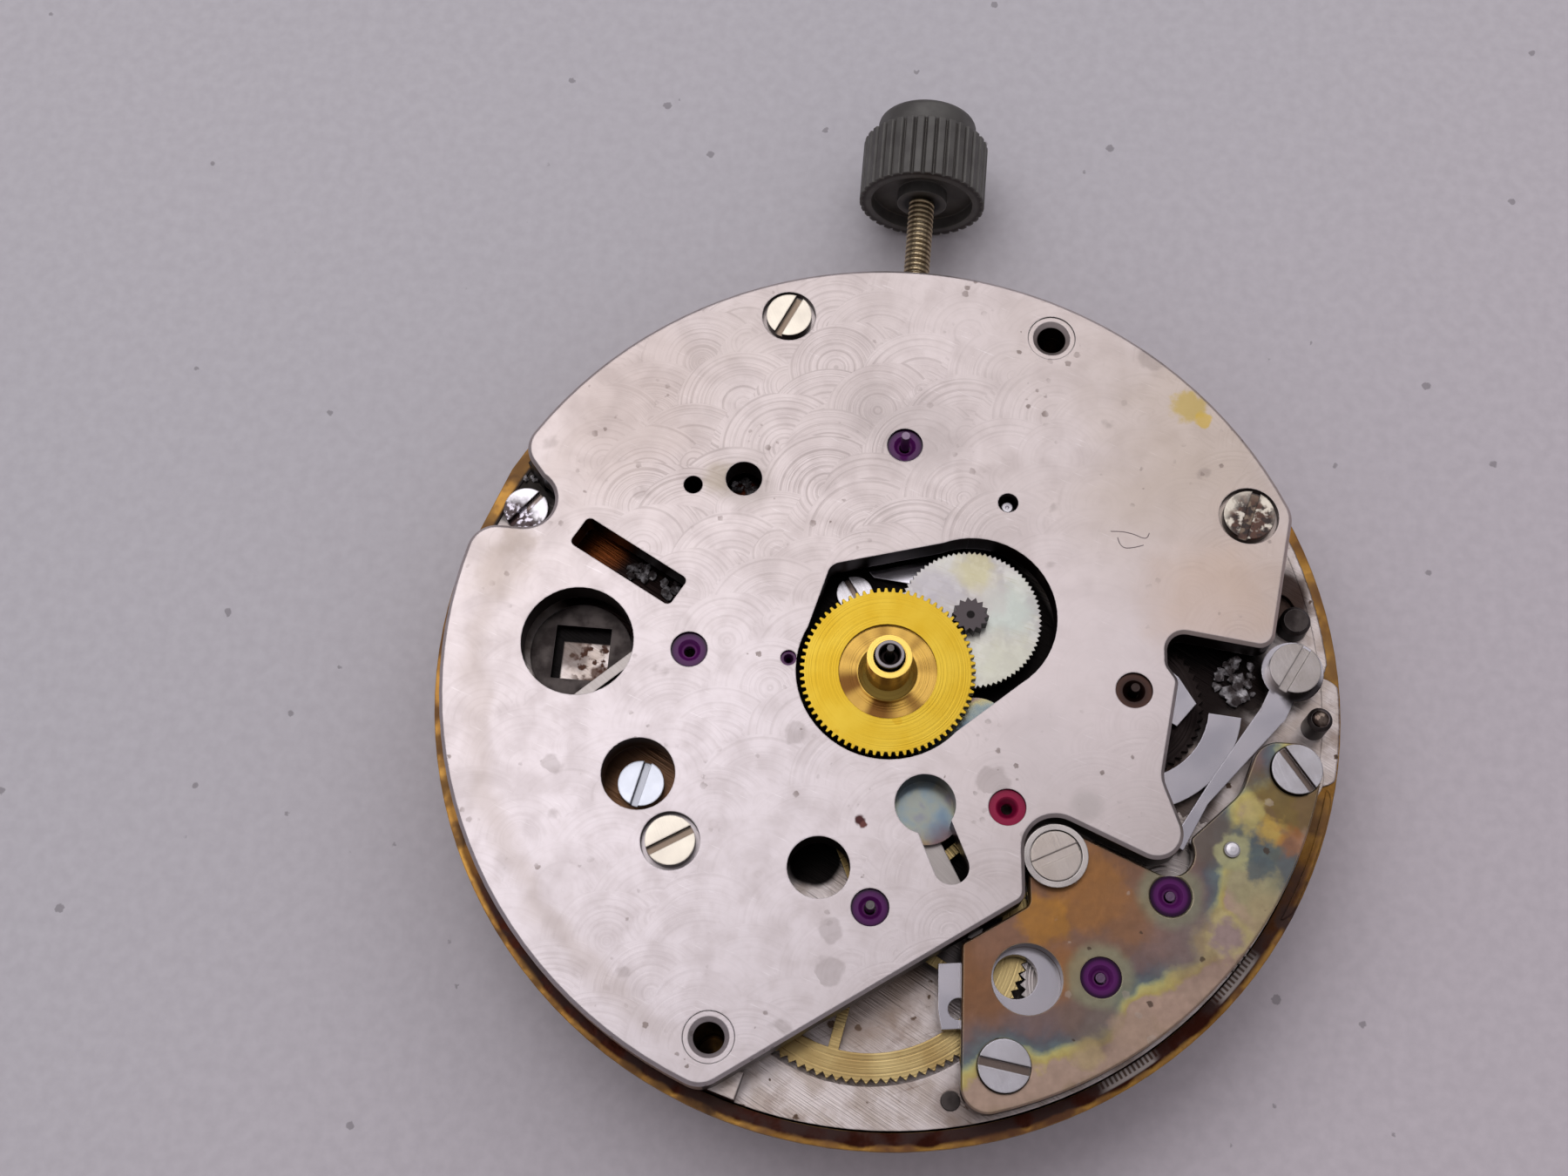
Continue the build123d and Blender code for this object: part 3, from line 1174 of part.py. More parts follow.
with BuildPart() as centre_arbor:
    rod(centre, centre_tube_radius, bridge_top + level_gap, centre_tube_top)
    rod(centre, runner_arbor_radius + turn_gap, bridge_top + level_gap, centre_tube_top, Mode.SUBTRACT)
centre_arbor.part.label = "centre_arbor"
export_step(centre_arbor.part, "parts/centre_arbor.step")

with BuildPart() as third_wheel:
    slab(wheel_face(gear_face(third_teeth, third_module, third_turn, False, third_place), third_rim_radius,
                    train_hub_radius, train_spokes, train_spoke_width, third_place),
         third_wheel_top - train_wheel_thickness, third_wheel_top)
    slab(gear_face(third_leaves, centre_module, 0, False, third_place),
         centre_wheel_top - train_wheel_thickness - pinion_overlap, centre_wheel_top + pinion_overlap)
    train_arbor(third_place)
third_wheel.part.label = "third_wheel"
export_step(third_wheel.part, "parts/third_wheel.step")

# The fourth arbor carries the small seconds' pivot at the dial side
with BuildPart() as fourth_wheel:
    slab(wheel_face(gear_face(fourth_teeth, fourth_module, 0, False, fourth_place), fourth_rim_radius,
                    train_hub_radius, train_spokes, train_spoke_width, fourth_place),
         centre_wheel_top - train_wheel_thickness, centre_wheel_top)
    slab(gear_face(fourth_leaves, third_module, 0, False, fourth_place),
         third_wheel_top - train_wheel_thickness - pinion_overlap, third_wheel_top + pinion_overlap)
    rod(fourth_place, train_pivot_radius, train_pivot_level, main_bottom)
    rod(fourth_place, train_arbor_radius, train_bridge_top + turn_gap, main_bottom)
    rod(fourth_place, counter_arbor_radius, main_bottom - level_gap, -jewel_drop - jewel_thickness - turn_gap)
    cone(fourth_place, counter_pivot_radius, hand_seat_radius, -jewel_drop - jewel_thickness - turn_gap,
         hand_seat_bottom)
    rod(fourth_place, hand_seat_radius, hand_seat_bottom, small_seconds_pivot_top)
fourth_wheel.part.label = "fourth_wheel"
export_step(fourth_wheel.part, "parts/fourth_wheel.step")

with BuildPart() as escape_wheel:
    tooth_points = [polar(radius, 360 * (number + share) / escape_teeth, escape_place)
                    for number in range(escape_teeth)
                    for share, radius in ((-0.1, escape_rim_radius), (0, escape_radius), (0.1, escape_radius),
                                          (0.25, escape_rim_radius))]
    with BuildSketch(Plane.XY.offset(escape_wheel_top - escape_wheel_thickness)) as escape_outline:
        with BuildLine():
            Polyline(*tooth_points, close=True)
        make_face()
    extrude(amount=escape_wheel_thickness)
    slab(disc_face(escape_place, escape_rim_radius - escape_rim_width) - disc_face(escape_place, escape_hub_radius)
         - bar_face(polar(escape_radius, 0, escape_place), polar(escape_radius, 180, escape_place), train_spoke_width)
         - bar_face(polar(escape_radius, 90, escape_place), polar(escape_radius, 270, escape_place),
                    train_spoke_width),
         escape_wheel_top - escape_wheel_thickness, escape_wheel_top, Mode.SUBTRACT)
    slab(gear_face(escape_leaves, fourth_module, escape_turn, False, escape_place),
         centre_wheel_top - train_wheel_thickness - pinion_overlap, centre_wheel_top + pinion_overlap)
    train_arbor(escape_place)
escape_wheel.part.label = "escape_wheel"
export_step(escape_wheel.part, "parts/escape_wheel.step")

# Pallet fork: two arms over the escape wheel's rim, and a lever with a notch for the impulse pin
pallet_arm_radius = pallet_reach * pallet_arm_share
fork_end = (distance(pallet_place, balance_place) - impulse_distance - impulse_radius - level_gap
            - fork_end_radius)
with BuildPart() as pallet_fork:
    with BuildSketch(Plane.XY.offset(escape_wheel_top - escape_wheel_thickness)) as fork_outline:
        for side in (-1, 1):
            pallet_end = polar(pallet_arm_radius, balance_direction + side * pallet_arm_angle, pallet_place)
            add(bar_face(pallet_place, pallet_end, pallet_arm_width))
        add(bar_face(pallet_place, polar(fork_end, balance_direction, pallet_place), pallet_arm_width))
        with Locations(polar(fork_end, balance_direction, pallet_place)):
            Circle(fork_end_radius)
        add(bar_face(polar(fork_end + fork_end_radius / 2, balance_direction, pallet_place), balance_place,
                     2 * impulse_radius + 2 * level_gap), mode=Mode.SUBTRACT)
    extrude(amount=escape_wheel_thickness)
    rod(pallet_place, train_pivot_radius, main_bottom, main_bottom + train_pivot_depth)
    rod(pallet_place, train_arbor_radius, pallet_bridge_top + turn_gap, main_bottom - turn_gap)
    rod(pallet_place, train_pivot_radius, pallet_bridge_bottom + level_gap, main_bottom)
pallet_fork.part.label = "pallet_fork"
export_step(pallet_fork.part, "parts/pallet_fork.step")

with BuildPart() as balance_wheel:
    slab(wheel_face(disc_face(balance_place, balance_radius), balance_radius - balance_rim_width, balance_hub_radius,
                    balance_arms, balance_arm_width, balance_place), balance_rim_top - balance_rim_thickness,
         balance_rim_top)
    rod(balance_place, train_pivot_radius, main_bottom, main_bottom + train_pivot_depth)
    rod(balance_place, staff_radius, cock_arm_top + turn_gap, main_bottom - turn_gap)
    rod(balance_place, train_pivot_radius, train_pivot_level, main_bottom)
    rod(balance_place, roller_radius, roller_bottom, roller_bottom + roller_thickness)
    rod(polar(impulse_distance, balance_direction + 180, balance_place), impulse_radius, roller_bottom,
        escape_wheel_top)
balance_wheel.part.label = "balance_wheel"
export_step(balance_wheel.part, "parts/balance_wheel.step")

# Hairspring: a flat spiral from its collet to the stud at the cock
def coil(offset):
    """The points of one side of the spiral."""
    steps = hairspring_turns * hairspring_steps
    rise = (hairspring_outer_radius - hairspring_inner_radius) / steps
    return [polar(hairspring_inner_radius + offset + rise * step, 360 * step / hairspring_steps, balance_place)
            for step in range(steps + 1)]


with BuildPart() as hairspring:
    with BuildSketch(Plane.XY.offset(hairspring_top - hairspring_height)) as spiral_outline:
        with BuildLine():
            Polyline(*coil(0), *reversed(coil(hairspring_width)), close=True)
        make_face()
    extrude(amount=hairspring_height)
    rod(polar(hairspring_outer_radius, 0, balance_place), hairspring_stud_radius, cock_arm_top, hairspring_top)
hairspring.part.label = "hairspring"
export_step(hairspring.part, "parts/hairspring.step")

# Barrel: a toothed drum on its own arbor
with BuildPart() as barrel:
    rod(barrel_place, barrel_radius, barrel_bottom, barrel_top)
    slab(gear_face(barrel_teeth, barrel_module, barrel_turn, False, barrel_place), barrel_bottom,
         barrel_bottom + barrel_tooth_thickness)
    rod(barrel_place, barrel_arbor_radius + turn_gap, barrel_bottom, barrel_top, Mode.SUBTRACT)
barrel.part.label = "barrel"
export_step(barrel.part, "parts/barrel.step")

with BuildPart() as barrel_arbor:
    rod(barrel_place, barrel_arbor_radius, barrel_bottom, barrel_top)
    rod(barrel_place, barrel_pivot_radius, barrel_top, barrel_top + barrel_pivot_length)
    with Locations((*barrel_place, ratchet_top - ratchet_thickness)):
        Box(ratchet_square, ratchet_square, barrel_bottom - ratchet_top + ratchet_thickness, align=upright)
    rod(barrel_place, barrel_pivot_radius, bridge_top - barrel_pivot_length, ratchet_top)
barrel_arbor.part.label = "barrel_arbor"
export_step(barrel_arbor.part, "parts/barrel_arbor.step")

ratchet_turn = mesh_turn(crown_wheel_teeth, 0, crown_wheel_place, ratchet_teeth, barrel_place)
with BuildPart() as ratchet_wheel:
    slab(gear_face(ratchet_teeth, winding_module, ratchet_turn, False, barrel_place),
         ratchet_top - ratchet_thickness, ratchet_top)
    with Locations((*barrel_place, ratchet_top - ratchet_thickness)):
        Box(ratchet_square + 2 * seat_gap, ratchet_square + 2 * seat_gap, ratchet_thickness, align=upright,
            mode=Mode.SUBTRACT)
ratchet_wheel.part.label = "ratchet_wheel"
export_step(ratchet_wheel.part, "parts/ratchet_wheel.step")

with BuildPart() as crown_wheel:
    slab(gear_face(crown_wheel_teeth, winding_module, 0, False, crown_wheel_place),
         ratchet_top - ratchet_thickness, ratchet_top)
    rod(crown_wheel_place, core_radius + turn_gap, ratchet_top - ratchet_thickness, ratchet_top, Mode.SUBTRACT)
crown_wheel.part.label = "crown_wheel"
export_step(crown_wheel.part, "parts/crown_wheel.step")

with BuildPart() as crown_wheel_core:
    rod(crown_wheel_place, core_radius, bridge_top, ratchet_top + turn_gap)
    rod(crown_wheel_place, core_flange_radius, ratchet_top + turn_gap, ratchet_top + turn_gap + core_flange_thickness)
crown_wheel_core.part.label = "crown_wheel_core"
export_step(crown_wheel_core.part, "parts/crown_wheel_core.step")

with BuildPart() as click:
    slab(bar_face(click_pivot_place, click_tip_place, click_arm_width), ratchet_top - ratchet_thickness, ratchet_top)
    rod(click_pivot_place, click_boss_radius, ratchet_top - ratchet_thickness, ratchet_top)
    rod(click_pivot_place, click_pivot_radius + turn_gap, ratchet_top - ratchet_thickness, ratchet_top, Mode.SUBTRACT)
click.part.label = "click"
export_step(click.part, "parts/click.step")

with BuildPart() as click_spring:
    rod(click_spring_foot_place, click_spring_foot_radius, bridge_top, ratchet_top)
    slab(bar_face(click_spring_foot_place, click_spring_tip_place, click_spring_width),
         ratchet_top - ratchet_thickness, ratchet_top)
click_spring.part.label = "click_spring"
export_step(click_spring.part, "parts/click_spring.step")

# Barrel bridge: covers the barrel, the winding wheels and the centre, with the runner's recess
with BuildPart() as barrel_bridge:
    with BuildSketch(Plane.XY.offset(rest_level)) as barrel_bridge_outline:
        Circle(bridge_reach)
        add(corner_face(on_plate(barrel_bridge_shares), plate_sizes(barrel_bridge_radii_shares)),
            mode=Mode.INTERSECT)
        with Locations(click_tip_place):
            Circle(bridge_window_radius, mode=Mode.SUBTRACT)
    extrude(amount=bridge_thickness)
    with BuildSketch(Plane.XY.offset(bridge_top)) as foot_outline:
        with BuildLine():
            outer = CenterArc(centre, bridge_reach, barrel_foot_start, barrel_foot_sweep)
            inner = CenterArc(centre, bridge_reach - bridge_foot_width, barrel_foot_start, barrel_foot_sweep)
            Line(outer @ 0, inner @ 0)
            Line(outer @ 1, inner @ 1)
        make_face()
    extrude(amount=train_gap)
    rod(click_pivot_place, click_pivot_radius, bridge_top, ratchet_top + turn_gap)
    rod(centre, runner_recess_radius, rest_level, rest_level + runner_recess_depth, Mode.SUBTRACT)
    rod(centre, centre_tube_radius + turn_gap, rest_level, bridge_top, Mode.SUBTRACT)
    rod(barrel_place, barrel_pivot_radius + turn_gap, bridge_top - barrel_pivot_length - pocket_gap, bridge_top,
        Mode.SUBTRACT)
    for place in barrel_screw_places:
        back_screw_hole(place)
barrel_bridge.part.label = "barrel_bridge"
export_step(barrel_bridge.part, "parts/barrel_bridge.step")

# Train bridge with the jewels of the third, fourth and escape arbors
with BuildPart() as train_bridge:
    slab(corner_face(on_plate(train_bridge_shares), plate_sizes(train_bridge_radii_shares)), rest_level,
         train_bridge_top)
    for place in train_foot_places:
        rod(place, train_foot_radius, rest_level, main_bottom)
        back_screw_hole(place)
    for place in (third_place, fourth_place, escape_place):
        rod(place, train_jewel_radius + seat_gap, rest_level, train_bridge_top, Mode.SUBTRACT)
train_bridge.part.label = "train_bridge"
export_step(train_bridge.part, "parts/train_bridge.step")

with BuildPart() as bridge_jewels:
    for place in (third_place, fourth_place, escape_place, balance_place):
        jewel(place, train_jewel_radius, train_pivot_radius + turn_gap, rest_level + level_gap,
              rest_level + level_gap + train_jewel_thickness, False)
bridge_jewels.part.label = "bridge_jewels"
export_step(bridge_jewels.part, "parts/bridge_jewels.step")

# Balance cock and pallet bridge
with BuildPart() as balance_cock:
    slab(bar_face(cock_foot_place, balance_place, cock_width), rest_level, cock_arm_top)
    rod(balance_place, cock_head_radius, rest_level, cock_arm_top)
    rod(cock_foot_place, cock_foot_radius, rest_level, main_bottom)
    rod(balance_place, train_jewel_radius + seat_gap, rest_level, cock_arm_top, Mode.SUBTRACT)
    back_screw_hole(cock_foot_place)
balance_cock.part.label = "balance_cock"
export_step(balance_cock.part, "parts/balance_cock.step")

with BuildPart() as pallet_bridge:
    slab(bar_face(pallet_foot_place, pallet_place, pallet_bridge_width), pallet_bridge_bottom, pallet_bridge_top)
    rod(pallet_foot_place, pallet_foot_radius, pallet_bridge_bottom, main_bottom)
    rod(pallet_place, train_pivot_radius + turn_gap, pallet_bridge_bottom, pallet_bridge_top, Mode.SUBTRACT)
    rod(pallet_foot_place, screw_shank_radius + seat_gap, pallet_bridge_bottom, main_bottom, Mode.SUBTRACT)
pallet_bridge.part.label = "pallet_bridge"
export_step(pallet_bridge.part, "parts/pallet_bridge.step")

with BuildPart() as bridge_screws:
    for place, slot_turn in zip((*barrel_screw_places, *train_foot_places, cock_foot_place), bridge_screw_turns):
        back_screw(place, slot_turn)
    rod(pallet_foot_place, screw_shank_radius, pallet_bridge_bottom, main_bottom + back_screw_radius)
bridge_screws.part.label = "bridge_screws"
export_step(bridge_screws.part, "parts/bridge_screws.step")

# Chronograph runner: its wheel on the bridge side, its arbor through the hollow centre arbor
with BuildPart() as chronograph_runner:
    slab(gear_face(runner_teeth, runner_module), rest_level + 2 * level_gap,
         rest_level + 2 * level_gap + runner_wheel_thickness)
    rod(centre, runner_arbor_radius, rest_level + 2 * level_gap, runner_seat_bottom - runner_taper_length)
    cone(centre, runner_arbor_radius, runner_tip_radius, runner_seat_bottom - runner_taper_length,
         runner_seat_bottom)
    rod(centre, runner_tip_radius, runner_seat_bottom, runner_top)
chronograph_runner.part.label = "chronograph_runner"
export_step(chronograph_runner.part, "parts/chronograph_runner.step")

# Stem, winding pinion and sliding pinion
with BuildPart() as stem:
    turned(stem_pilot_radius, stem_square_start - stem_pilot_length, stem_square_start)
    with BuildSketch(across(stem_square_start)) as square_outline:
        Rectangle(stem_square, stem_square)
    extrude(amount=winding_pinion_start - stem_square_start - level_gap)
    turned(stem_round_radius, winding_pinion_start - level_gap, shoulder_start)
    turned(stem_shoulder_radius, shoulder_start, groove_middle - stem_groove_width / 2)
    turned(stem_groove_radius, groove_middle - stem_groove_width / 2, groove_middle + stem_groove_width / 2)
    turned(stem_shoulder_radius, groove_middle + stem_groove_width / 2, stem_thread_start)
    turned(stem_thread_radius, stem_thread_start, crown_start + stem_thread_depth)
stem.part.label = "stem"
export_step(stem.part, "parts/stem.step")

with BuildPart() as winding_pinion:
    extrude(across(winding_pinion_start) * gear_face(winding_leaves, winding_module), amount=winding_pinion_length)
    turned(winding_pinion_bore, winding_pinion_start, winding_pinion_start + winding_pinion_length, Mode.SUBTRACT)
winding_pinion.part.label = "winding_pinion"
export_step(winding_pinion.part, "parts/winding_pinion.step")

with BuildPart() as sliding_pinion:
    turned(clutch_radius, clutch_start, clutch_end)
    with BuildSketch(across(clutch_groove_middle - stem_groove_width / 2)) as clutch_groove:
        Circle(clutch_radius + seat_gap)
        Circle(clutch_groove_radius, mode=Mode.SUBTRACT)
    extrude(amount=stem_groove_width, mode=Mode.SUBTRACT)
    with BuildSketch(across(clutch_start)) as crown_teeth:
        with PolarLocations(clutch_radius, clutch_teeth):
            Rectangle(clutch_tooth_depth * 2, clutch_tooth_gap)
    extrude(amount=clutch_tooth_depth, mode=Mode.SUBTRACT)
    with BuildSketch(across(clutch_start)) as square_hole:
        Rectangle(stem_square + 2 * turn_gap, stem_square + 2 * turn_gap)
    extrude(amount=clutch_length, mode=Mode.SUBTRACT)
sliding_pinion.part.label = "sliding_pinion"
export_step(sliding_pinion.part, "parts/sliding_pinion.step")

# Crown: a ribbed grip, a smooth neck towards the movement and a hub on the stem
with BuildPart() as crown:
    rib_points = [polar(radius, 360 * (number + share) / crown_ribs)
                  for number in range(crown_ribs)
                  for share, radius in ((0, crown_radius), (0.55, crown_radius),
                                        (0.78, crown_radius - crown_rib_depth))]
    with BuildSketch(across(crown_start)) as grip_outline:
        with BuildLine():
            Polyline(*rib_points, close=True)
        make_face()
    extrude(amount=crown_grip_length)
    turned(crown_cap_radius, crown_start + crown_grip_length, crown_start + crown_grip_length + crown_cap_length)
    fillet(crown.faces().sort_by(Axis.Y)[-1].edges(), crown_rounding)
    turned(crown_recess_radius, crown_start, crown_start + crown_recess_depth, Mode.SUBTRACT)
    turned(crown_hub_radius, crown_start, crown_start + crown_recess_depth)
    turned(stem_thread_radius + seat_gap, crown_start, crown_start + stem_thread_depth + level_gap, Mode.SUBTRACT)
crown.part.label = "crown"
export_step(crown.part, "parts/crown.step")

# Setting lever and yoke, flat levers whose pins ride in the stem's and the sliding pinion's grooves
with BuildPart() as setting_lever:
    setting_pin_place = (0, groove_middle)
    slab(bar_face(setting_pivot_place, setting_pin_place, keyless_arm_width), keyless_lever_bottom,
         keyless_lever_bottom + keyless_lever_thickness)
    rod(setting_pivot_place, keyless_boss_radius, keyless_lever_bottom,
        keyless_lever_bottom + keyless_lever_thickness)
    rod(setting_pin_place, lever_pin_radius, stem_level + stem_groove_radius + level_gap, keyless_lever_bottom)
    rod(setting_pivot_place, keyless_stud_radius + turn_gap, keyless_lever_bottom,
        keyless_lever_bottom + keyless_lever_thickness, Mode.SUBTRACT)
setting_lever.part.label = "setting_lever"
export_step(setting_lever.part, "parts/setting_lever.step")

with BuildPart() as yoke:
    yoke_pin_place = (0, clutch_groove_middle)
    slab(bar_face(yoke_pivot_place, yoke_pin_place, keyless_arm_width), keyless_lever_bottom,
         keyless_lever_bottom + keyless_lever_thickness)
    rod(yoke_pivot_place, keyless_boss_radius, keyless_lever_bottom, keyless_lever_bottom + keyless_lever_thickness)
    rod(yoke_pin_place, lever_pin_radius, stem_level + clutch_groove_radius + level_gap, keyless_lever_bottom)
    rod(yoke_pivot_place, keyless_stud_radius + turn_gap, keyless_lever_bottom,
        keyless_lever_bottom + keyless_lever_thickness, Mode.SUBTRACT)
yoke.part.label = "yoke"
export_step(yoke.part, "parts/yoke.step")

# Setting wheels between the sliding pinion and the minute wheel's lower wheel
idler_turn = mesh_turn(minute_setting_teeth, 0, minute_place, idler_teeth, idler_place)
setting_turn = mesh_turn(idler_teeth, idler_turn, idler_place, setting_teeth, setting_wheel_place)
with BuildPart() as setting_wheel:
    slab(gear_face(setting_teeth, setting_module, setting_turn, False, setting_wheel_place),
         setting_wheel_top - setting_wheel_thickness, setting_wheel_top)
    rod(setting_wheel_place, setting_stud_radius + turn_gap, setting_wheel_top - setting_wheel_thickness,
        setting_wheel_top, Mode.SUBTRACT)
setting_wheel.part.label = "setting_wheel"
export_step(setting_wheel.part, "parts/setting_wheel.step")

with BuildPart() as idler_wheel:
    slab(gear_face(idler_teeth, setting_module, idler_turn, False, idler_place),
         setting_wheel_top - setting_wheel_thickness, setting_wheel_top)
    rod(idler_place, setting_stud_radius + turn_gap, setting_wheel_top - setting_wheel_thickness,
        setting_wheel_top, Mode.SUBTRACT)
idler_wheel.part.label = "idler_wheel"
export_step(idler_wheel.part, "parts/idler_wheel.step")
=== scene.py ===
import math
import random

import bmesh
import bpy
from mathutils import Matrix, Vector


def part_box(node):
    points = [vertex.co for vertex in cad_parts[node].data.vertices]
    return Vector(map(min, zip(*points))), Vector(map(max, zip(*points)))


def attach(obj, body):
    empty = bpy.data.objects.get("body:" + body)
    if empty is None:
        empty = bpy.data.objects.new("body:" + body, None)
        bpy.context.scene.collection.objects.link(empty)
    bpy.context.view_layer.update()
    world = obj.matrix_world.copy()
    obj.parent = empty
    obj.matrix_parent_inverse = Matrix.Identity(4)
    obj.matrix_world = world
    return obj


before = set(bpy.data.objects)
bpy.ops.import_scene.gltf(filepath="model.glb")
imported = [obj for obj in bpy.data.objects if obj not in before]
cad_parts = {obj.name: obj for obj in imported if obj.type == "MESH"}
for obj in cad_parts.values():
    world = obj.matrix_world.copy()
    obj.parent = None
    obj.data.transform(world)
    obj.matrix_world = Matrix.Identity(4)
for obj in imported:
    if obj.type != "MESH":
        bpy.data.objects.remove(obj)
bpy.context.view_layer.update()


# Work table
# The movement lies dial side up on a plain sheet of grey-lilac paper. The
# paper is matt, with a fine grain and a few grains of dust, and has no print.
def tint(red, green, blue):
    """The linear colour of a red, green and blue seen on a screen."""
    def linear(tone):
        tone = tone / 255
        return tone / 12.92 if tone <= 0.04045 else ((tone + 0.055) / 1.055) ** 2.4
    return (linear(red), linear(green), linear(blue), 1)


class Wire:
    """A shader value, colour or vector on its way, which can be reckoned with."""

    def __init__(self, tree, socket):
        self.tree, self.socket = tree, socket

    def reckon(self, rule, *others):
        """The result of a Math node that takes this value first."""
        return put(self.tree, "Math", dict(enumerate((self, *others))), operation=rule)[0]

    def __add__(self, other):
        return self.reckon("ADD", other)

    def __sub__(self, other):
        return self.reckon("SUBTRACT", other)

    def __rsub__(self, other):
        return put(self.tree, "Math", {0: other, 1: self}, operation="SUBTRACT")[0]

    def __mul__(self, other):
        return self.reckon("MULTIPLY", other)

    def __truediv__(self, other):
        return self.reckon("DIVIDE", other)

    def __rtruediv__(self, other):
        return put(self.tree, "Math", {0: other, 1: self}, operation="DIVIDE")[0]


class Placed:
    """A placed shader node, whose outputs are read as wires."""

    def __init__(self, tree, node):
        self.tree, self.node = tree, node

    def __getitem__(self, output):
        return Wire(self.tree, self.node.outputs[output])


def join(tree, socket, value):
    """Links a wire to a socket, or sets the socket to a value."""
    if isinstance(value, Wire):
        tree.links.new(value.socket, socket)
    else:
        socket.default_value = value


def put(tree, kind, joins=None, **traits):
    """Places a shader node, sets its traits and fills its sockets."""
    node = tree.nodes.new("ShaderNode" + kind)
    for trait, value in traits.items():
        setattr(node, trait, value)
    for socket, value in (joins or {}).items():
        join(tree, node.inputs[socket], value)
    return Placed(tree, node)


def between(mask, low, high):
    """A colour that goes from low to high with the mask; a plain colour is as seen on a screen."""
    low, high = [tint(*shade) if isinstance(shade, tuple) else shade for shade in (low, high)]
    return put(mask.tree, "Mix", {0: mask, 6: low, 7: high}, data_type="RGBA")[2]


def lay(colour, mask, stain):
    """A colour with a stain laid over it where the mask is."""
    return between(mask, colour, stain)


def window(value, low, high):
    """A mask that goes smoothly from 0 at low to 1 at high."""
    return put(value.tree, "MapRange", {0: value, 1: low, 2: high, 3: 0.0, 4: 1.0},
               interpolation_type="SMOOTHSTEP")[0]


def apart(place):
    """The x, y and z of a place."""
    parts = put(place.tree, "SeparateXYZ", {0: place})
    return parts[0], parts[1], parts[2]


def new_group(name, takes, gives):
    """A shader node group: its usual input values, and the names of its outputs."""
    group = bpy.data.node_groups.new(name, "ShaderNodeTree")
    for label, usual in takes.items():
        kind = "NodeSocketFloat" if isinstance(usual, float) else "NodeSocketVector"
        socket = group.interface.new_socket(label, in_out="INPUT", socket_type=kind)
        if usual is not None:
            socket.default_value = usual
    for label in gives.split():
        kind = "NodeSocketVector" if label == "Normal" else "NodeSocketFloat"
        group.interface.new_socket(label, in_out="OUTPUT", socket_type=kind)
    results = group.nodes.new("NodeGroupOutput").inputs

    def give(**wires):
        for label, wire in wires.items():
            join(group, results[label], wire)

    return group, Placed(group, group.nodes.new("NodeGroupInput")), give


def effect(group, place, **settings):
    """Places an effect group on a finish's place, with its own values."""
    made = put(place.tree, "Group", node_tree=group)
    for label, value in {"Place": place, **settings}.items():
        if label in made.node.inputs:
            join(place.tree, made.node.inputs[label], value)
    return made


class Finish:
    """A Principled material and its sockets."""

    def __init__(self, name):
        self.material = bpy.data.materials.new(name)
        self.material.use_nodes = True
        self.tree = self.material.node_tree

    def join(self, **sockets):
        """Fills the sockets of the finish's shader."""
        for socket, value in sockets.items():
            join(self.tree, self.tree.nodes["Principled BSDF"].inputs[socket.replace("_", " ")],
                 value)


def new_finish(name, base, roughness=0.4, metallic=0.0, **more):
    """A finish, and the place on its surface in mm."""
    finish = Finish(name)
    finish.join(Base_Color=tint(*base), Roughness=roughness, Metallic=metallic, **more)
    metres = put(finish.tree, "TexCoord")["Object"]
    return finish, put(finish.tree, "VectorMath", {0: metres, "Scale": 1000.0},
                       operation="SCALE")[0]


# Patches: a soft cloudy mask, for stains, tarnish and handling marks.
patches, given, give = new_group("patches", dict(
    Place=None, Size=2.0, Share=0.5, Softness=0.1, Seed=0.0, Detail=4.0), "Mask Tone")
cloud = put(patches, "TexNoise", {
    "Vector": given["Place"], "W": given["Seed"], "Detail": given["Detail"],
    "Scale": 1.0 / given["Size"]}, noise_dimensions="4D")[0]
middle = 0.74 - given["Share"] * 0.48
give(Mask=window(cloud, middle - given["Softness"], middle + given["Softness"]), Tone=cloud)


def patchy(place, size, share=0.5, softness=0.1, seed=0.0, detail=4.0):
    """The mask of soft patches, of a size in mm and a share of the surface."""
    return effect(patches, place, Size=size, Share=share, Softness=softness, Seed=seed,
                  Detail=detail)["Mask"]


# Specks: small ragged spots, each with its own size.
specks, given, give = new_group("specks", dict(
    Place=None, Size=0.2, Share=0.3, Seed=0.0), "Mask")
shifted = put(specks, "VectorMath", {0: given["Place"], 1: put(
    specks, "CombineXYZ", {0: given["Seed"]})[0]}, operation="ADD")[0]
wobble = put(specks, "TexNoise", {"Vector": shifted, "Scale": 3.0 / given["Size"]})[1]
reach = put(specks, "CombineXYZ", {axis: given["Size"] * 0.35 for axis in range(3)})[0]
moved = put(specks, "VectorMath", {0: wobble, 1: reach, 2: shifted},
            operation="MULTIPLY_ADD")[0]
cells = put(specks, "TexVoronoi", {
    "Vector": moved, "Scale": 1.0 / given["Size"], "Randomness": 1.0})
lot = put(specks, "SeparateColor", {0: cells["Color"]})
spread = lot[1] * 0.3 + 0.12
give(Mask=lot[0].reckon("LESS_THAN", given["Share"]) * window(
    cells["Distance"], spread, spread - 0.1))


def speckled(place, size, share, seed=0.0):
    """The mask of specks, of a size in mm and a share of their cells."""
    return effect(specks, place, Size=size, Share=share, Seed=seed)["Mask"]


